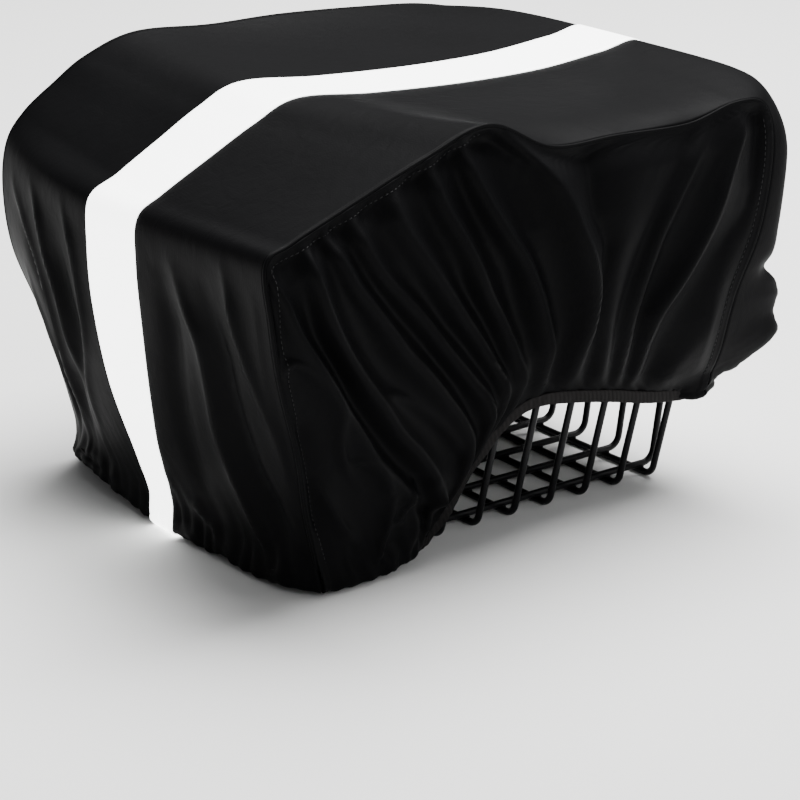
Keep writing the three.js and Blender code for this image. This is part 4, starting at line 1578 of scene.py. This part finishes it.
    def _side_panel(self, side: Side, name: str, columns: int, rows: int) -> bpy.types.Object:
        """One side panel with its folds and its gathers.

        Args:
            side: Near or far.
            name: The side's name in the CAD nodes.
            columns: Number of spans along the panel.
            rows: Number of spans down the panel.

        Returns:
            The panel.
        """
        grid = self.drape.side_grid(side, columns, rows)
        sign = -1.0 if side is Side.NEAR else 1.0
        travel = row_travel(grid)
        above = np.linalg.norm(grid - grid[-1:], axis=-1)
        below = np.linalg.norm(grid - grid[:1], axis=-1)
        size = mix(*self.hem_gather_mm, arched(grid[-1:, :, 0]))
        hem = size * self.hem_gather.lift(above, travel)
        top = self.top_gather.lift(below, travel)
        from_seam = np.minimum(below, np.minimum(
            np.linalg.norm(grid - grid[:, :1], axis=-1),
            np.linalg.norm(grid - grid[:, -1:], axis=-1)))
        allowance = self.allowance_mm * (1.0 - smooth((from_seam - self.topstitch_mm + 1.0) / 1.6))
        share = np.linspace(0.0, 1.0, grid.shape[1])
        (first, last), (ease_in, ease_out) = self.flat_run, self.flat_ease
        allowance *= 1.0 - smooth((share - first) / ease_in) * smooth((last - share) / ease_out)
        grid[..., 1] += sign * (hem + top + allowance)
        self.cuts[side] = grid
        rear_end, front_end = self.bare_binding
        low_x = grid[-1, :, 0]
        rear_ease, front_ease = self.cover_ease_mm
        cover = (smooth((rear_end - low_x) / rear_ease)
                 + smooth((low_x - front_end) / front_ease))
        grid = self._over_binding(grid, cover)
        if side is Side.NEAR:
            grid = grid[:, ::-1]
        piece = cloth_object(f"cover_side_panel_{name}", self._faced(grid))
        thicken(piece, self.cloth_mm)
        return piece

    def _topstitch(self, side: Side, name: str) -> bpy.types.Object:
        """The row of stitches that holds the seam allowance of one side panel.

        Args:
            side: Near or far.
            name: The side's name in the CAD nodes.

        Returns:
            All stitches as one piece.
        """
        grid = self.cuts[side]
        normals = grid_normals(grid) * (1.0 if side is Side.FAR else -1.0)
        face = grid + normals * CLOTH_FACE
        inset = self.topstitch_mm
        hanging = face[slice(*self.stitched_rows)]
        rear = [walk(row, inset) for row in hanging[::-1]]
        first, share = self.stitched_top
        slope = face[:, first:int(share * face.shape[1])]
        top = [walk(column, inset) for column in slope.swapaxes(0, 1)]
        front = [walk(row[::-1], inset) for row in hanging]
        mesh = bmesh.new()
        for line in (np.array(rear + top), np.array(front)):
            steps = np.linalg.norm(np.diff(line, axis=0), axis=-1)
            travel = np.concatenate([[0.0], np.cumsum(steps)])
            for stop in np.arange(0.0, travel[-1] - self.stitch_mm, self.stitch_pitch_mm):
                ends = [Vector([np.interp(stop + d, travel, line[:, k]) for k in range(3)])
                        for d in (0.0, self.stitch_mm)]
                turn = (ends[1] - ends[0]).to_track_quat("X", "Z").to_matrix().to_4x4()
                turn.translation = (ends[0] + ends[1]) / 2.0
                made = bmesh.ops.create_icosphere(mesh, subdivisions=1, radius=1.0)
                bmesh.ops.scale(mesh, vec=(self.stitch_mm / 2, self.thread_mm, self.thread_mm),
                                verts=made["verts"])
                bmesh.ops.transform(mesh, matrix=turn, verts=made["verts"])
        to_frame(mesh)
        return as_object(f"cover_topstitch_{name}", mesh)

    def _over_binding(self, grid: np.ndarray, cover: np.ndarray) -> np.ndarray:
        """Carries a sheet over the binding and turns it under, or ends it in the binding.

        Args:
            grid: The sheet's points, whose last row meets the binding.
            cover: 1 where the sheet hides the binding and 0 where it ends in it.

        Returns:
            The points with the added rows.
        """
        hem = self.drape.hem
        above = np.linalg.norm(grid - grid[-1:], axis=-1)
        last = grid[-1]
        index = hem.nearest(last, self.drape.cloth_rise, self.drape.cloth_lift)
        loose = hem.edge[index] - hem.edge[HEM_STEPS[Side.NEAR]]
        corner = np.exp(-((np.linalg.norm(loose, axis=-1) / self.loose_corner_mm) ** 2))
        even, uneven = self.puff_mm
        puff = (even + uneven * gathered(hem.travel[index], *self.puff_wave)
                + self.corner_puff_mm * corner)
        weight = (cover * puff)[None] * (1.0 - smooth(above / self.puff_reach_mm))
        grid = grid + hem.outward[index][None] * weight[..., None]
        drop = self.ruffle_mm * gathered(hem.travel[index], *self.ruffle_wave)
        rows = []
        for (rise, lift), hidden in zip(self.turn_under, self.inside_binding):
            low = (hem.up[index] * (rise + drop - self.drape.cloth_rise)[:, None]
                   + hem.outward[index] * (lift * puff)[:, None])
            kept = hem.up[index] * (hidden - self.drape.cloth_rise)
            rows.append(last + mix(kept, low, cover[:, None]))
        return np.concatenate([grid, np.array(rows)], axis=0)

    def _piping(self, side: Side, name: str) -> bpy.types.Object:
        """The piping of one seam, a round cord in cloth.

        Args:
            side: Near or far.
            name: The side's name in the CAD nodes.

        Returns:
            The piping.
        """
        sections = np.linspace(0.0, LAST, 321)
        line = self.drape.seam(side, sections)
        along = unit(np.gradient(line, axis=0))
        outward = np.zeros_like(along)
        outward[:, 1] = -1.0 if side is Side.NEAR else 1.0
        inner = unit(np.cross(along, outward))
        outer = unit(np.cross(inner, along))
        angles = np.linspace(0.0, 2.0 * math.pi, 13)[:-1]
        first, run = self.slim_run
        slim = smooth((sections - first) / run)
        size = mix(self.piping_mm, self.slim_piping_mm, slim)[:, None]
        rings = (line[:, None]
                 + outer[:, None] * (size * np.cos(angles)[None, :])[..., None]
                 + inner[:, None] * (size * np.sin(angles)[None, :])[..., None])
        return cloth_object(f"cover_piping_{name}", rings, closed=(False, True), capped=True)

    def _binding(self) -> bpy.types.Object:
        """The elastic binding, a flat folded band once round the hem.

        Returns:
            The binding.
        """
        hem = self.drape.hem
        half_width, half_thick = BINDING_WIDTH / 2, BINDING_THICKNESS / 2
        angles = np.linspace(0.0, 2.0 * math.pi, 17)[:-1]
        corner = 0.35
        up = np.sign(np.sin(angles)) * np.abs(np.sin(angles)) ** corner * half_width
        out = np.sign(np.cos(angles)) * np.abs(np.cos(angles)) ** corner * half_thick
        arch = smooth((hem.edge[:, 2] - 8.0) / 12.0)
        proud = mix(self.binding_proud_mm, self.arch_proud_mm, arch)
        wave = proud + self.binding_wave_mm * gathered(hem.travel, *self.binding_wave)
        centre = hem.edge + hem.up * half_width
        rings = (centre[:, None] + hem.up[:, None] * up[None, :, None]
                 + hem.outward[:, None] * (out[None, :] + wave[:, None])[..., None])
        return cloth_object("cover_hem_binding", rings, closed=(True, True))


# Studio


@dataclass
class Studio:
    """The floor, the soft lights and the camera at the photograph's angle."""

    camera_mm: tuple[float, float, float] = (-918.3, -1230.8, 588.2)
    azimuth: float = -37.0
    elevation: float = 19.5
    lens_mm: float = 126.0
    floor_m: float = 16.0
    world: str = "#f4f5f6"
    world_strength: float = 0.2
    aim: tuple[float, float, float] = (0.0, 0.0, 0.12)
    softboxes: tuple[tuple, ...] = (
        ("overhead", (0.8, 0.3, 2.4), (2.4, 2.0), 245.0),
        ("left_fill", (-0.3, -2.8, 1.6), (1.4, 1.4), 18.0),
        ("right_fill", (2.2, -2.2, 1.4), (1.2, 1.2), 14.0),
    )

    def camera(self) -> None:
        """Makes the camera."""
        data = bpy.data.cameras.new("camera")
        data.sensor_width = 36.0
        data.lens = self.lens_mm
        data.clip_start = 0.05
        data.clip_end = 50.0
        camera = bpy.data.objects.new("camera", data)
        bpy.context.scene.collection.objects.link(camera)
        a, e = math.radians(self.azimuth), math.radians(self.elevation)
        back = Vector((math.sin(a) * math.cos(e), -math.cos(a) * math.cos(e), math.sin(e)))
        camera.rotation_mode = "QUATERNION"
        camera.rotation_quaternion = (-back).to_track_quat("-Z", "Y")
        camera.location = Vector((np.array(self.camera_mm) + ORIGIN) * MM)
        bpy.context.scene.camera = camera

    def build(self) -> None:
        """Makes the floor, the lights and the surroundings."""
        mesh = bmesh.new()
        bmesh.ops.create_grid(mesh, x_segments=4, y_segments=4, size=self.floor_m / 2)
        floor = as_object("studio_floor", mesh)
        floor.data.materials.append(MatteFloor().build())
        for softbox in self.softboxes:
            self._light(*softbox)
        world = bpy.data.worlds.new("studio")
        bpy.context.scene.world = world
        world.use_nodes = True
        sky = next(n for n in world.node_tree.nodes if n.type == "BACKGROUND")
        sky.inputs["Color"].default_value = colour(self.world)
        sky.inputs["Strength"].default_value = self.world_strength

    def _light(self, name: str, where: tuple[float, float, float], size: tuple[float, float],
               watts: float) -> None:
        """Makes a softbox aimed at the middle of the cover.

        Args:
            name: Its name.
            where: Its place, in metres.
            size: Its width and height, in metres.
            watts: Its power.
        """
        data = bpy.data.lights.new(name, "AREA")
        data.shape = "RECTANGLE"
        data.size, data.size_y = size
        data.energy = watts
        light = bpy.data.objects.new(name, data)
        light.location = where
        aim = Vector(self.aim) - Vector(where)
        light.rotation_mode = "QUATERNION"
        light.rotation_quaternion = aim.to_track_quat("-Z", "Y")
        bpy.context.scene.collection.objects.link(light)


def main() -> None:
    """Builds the studio, the basket and the cover."""
    logging.basicConfig(level=logging.INFO, format="%(name)s: %(message)s")
    studio = Studio()
    studio.camera()
    studio.build()
    WireBasket().build()
    RainCover().build()


if __name__ == "__main__":
    main()
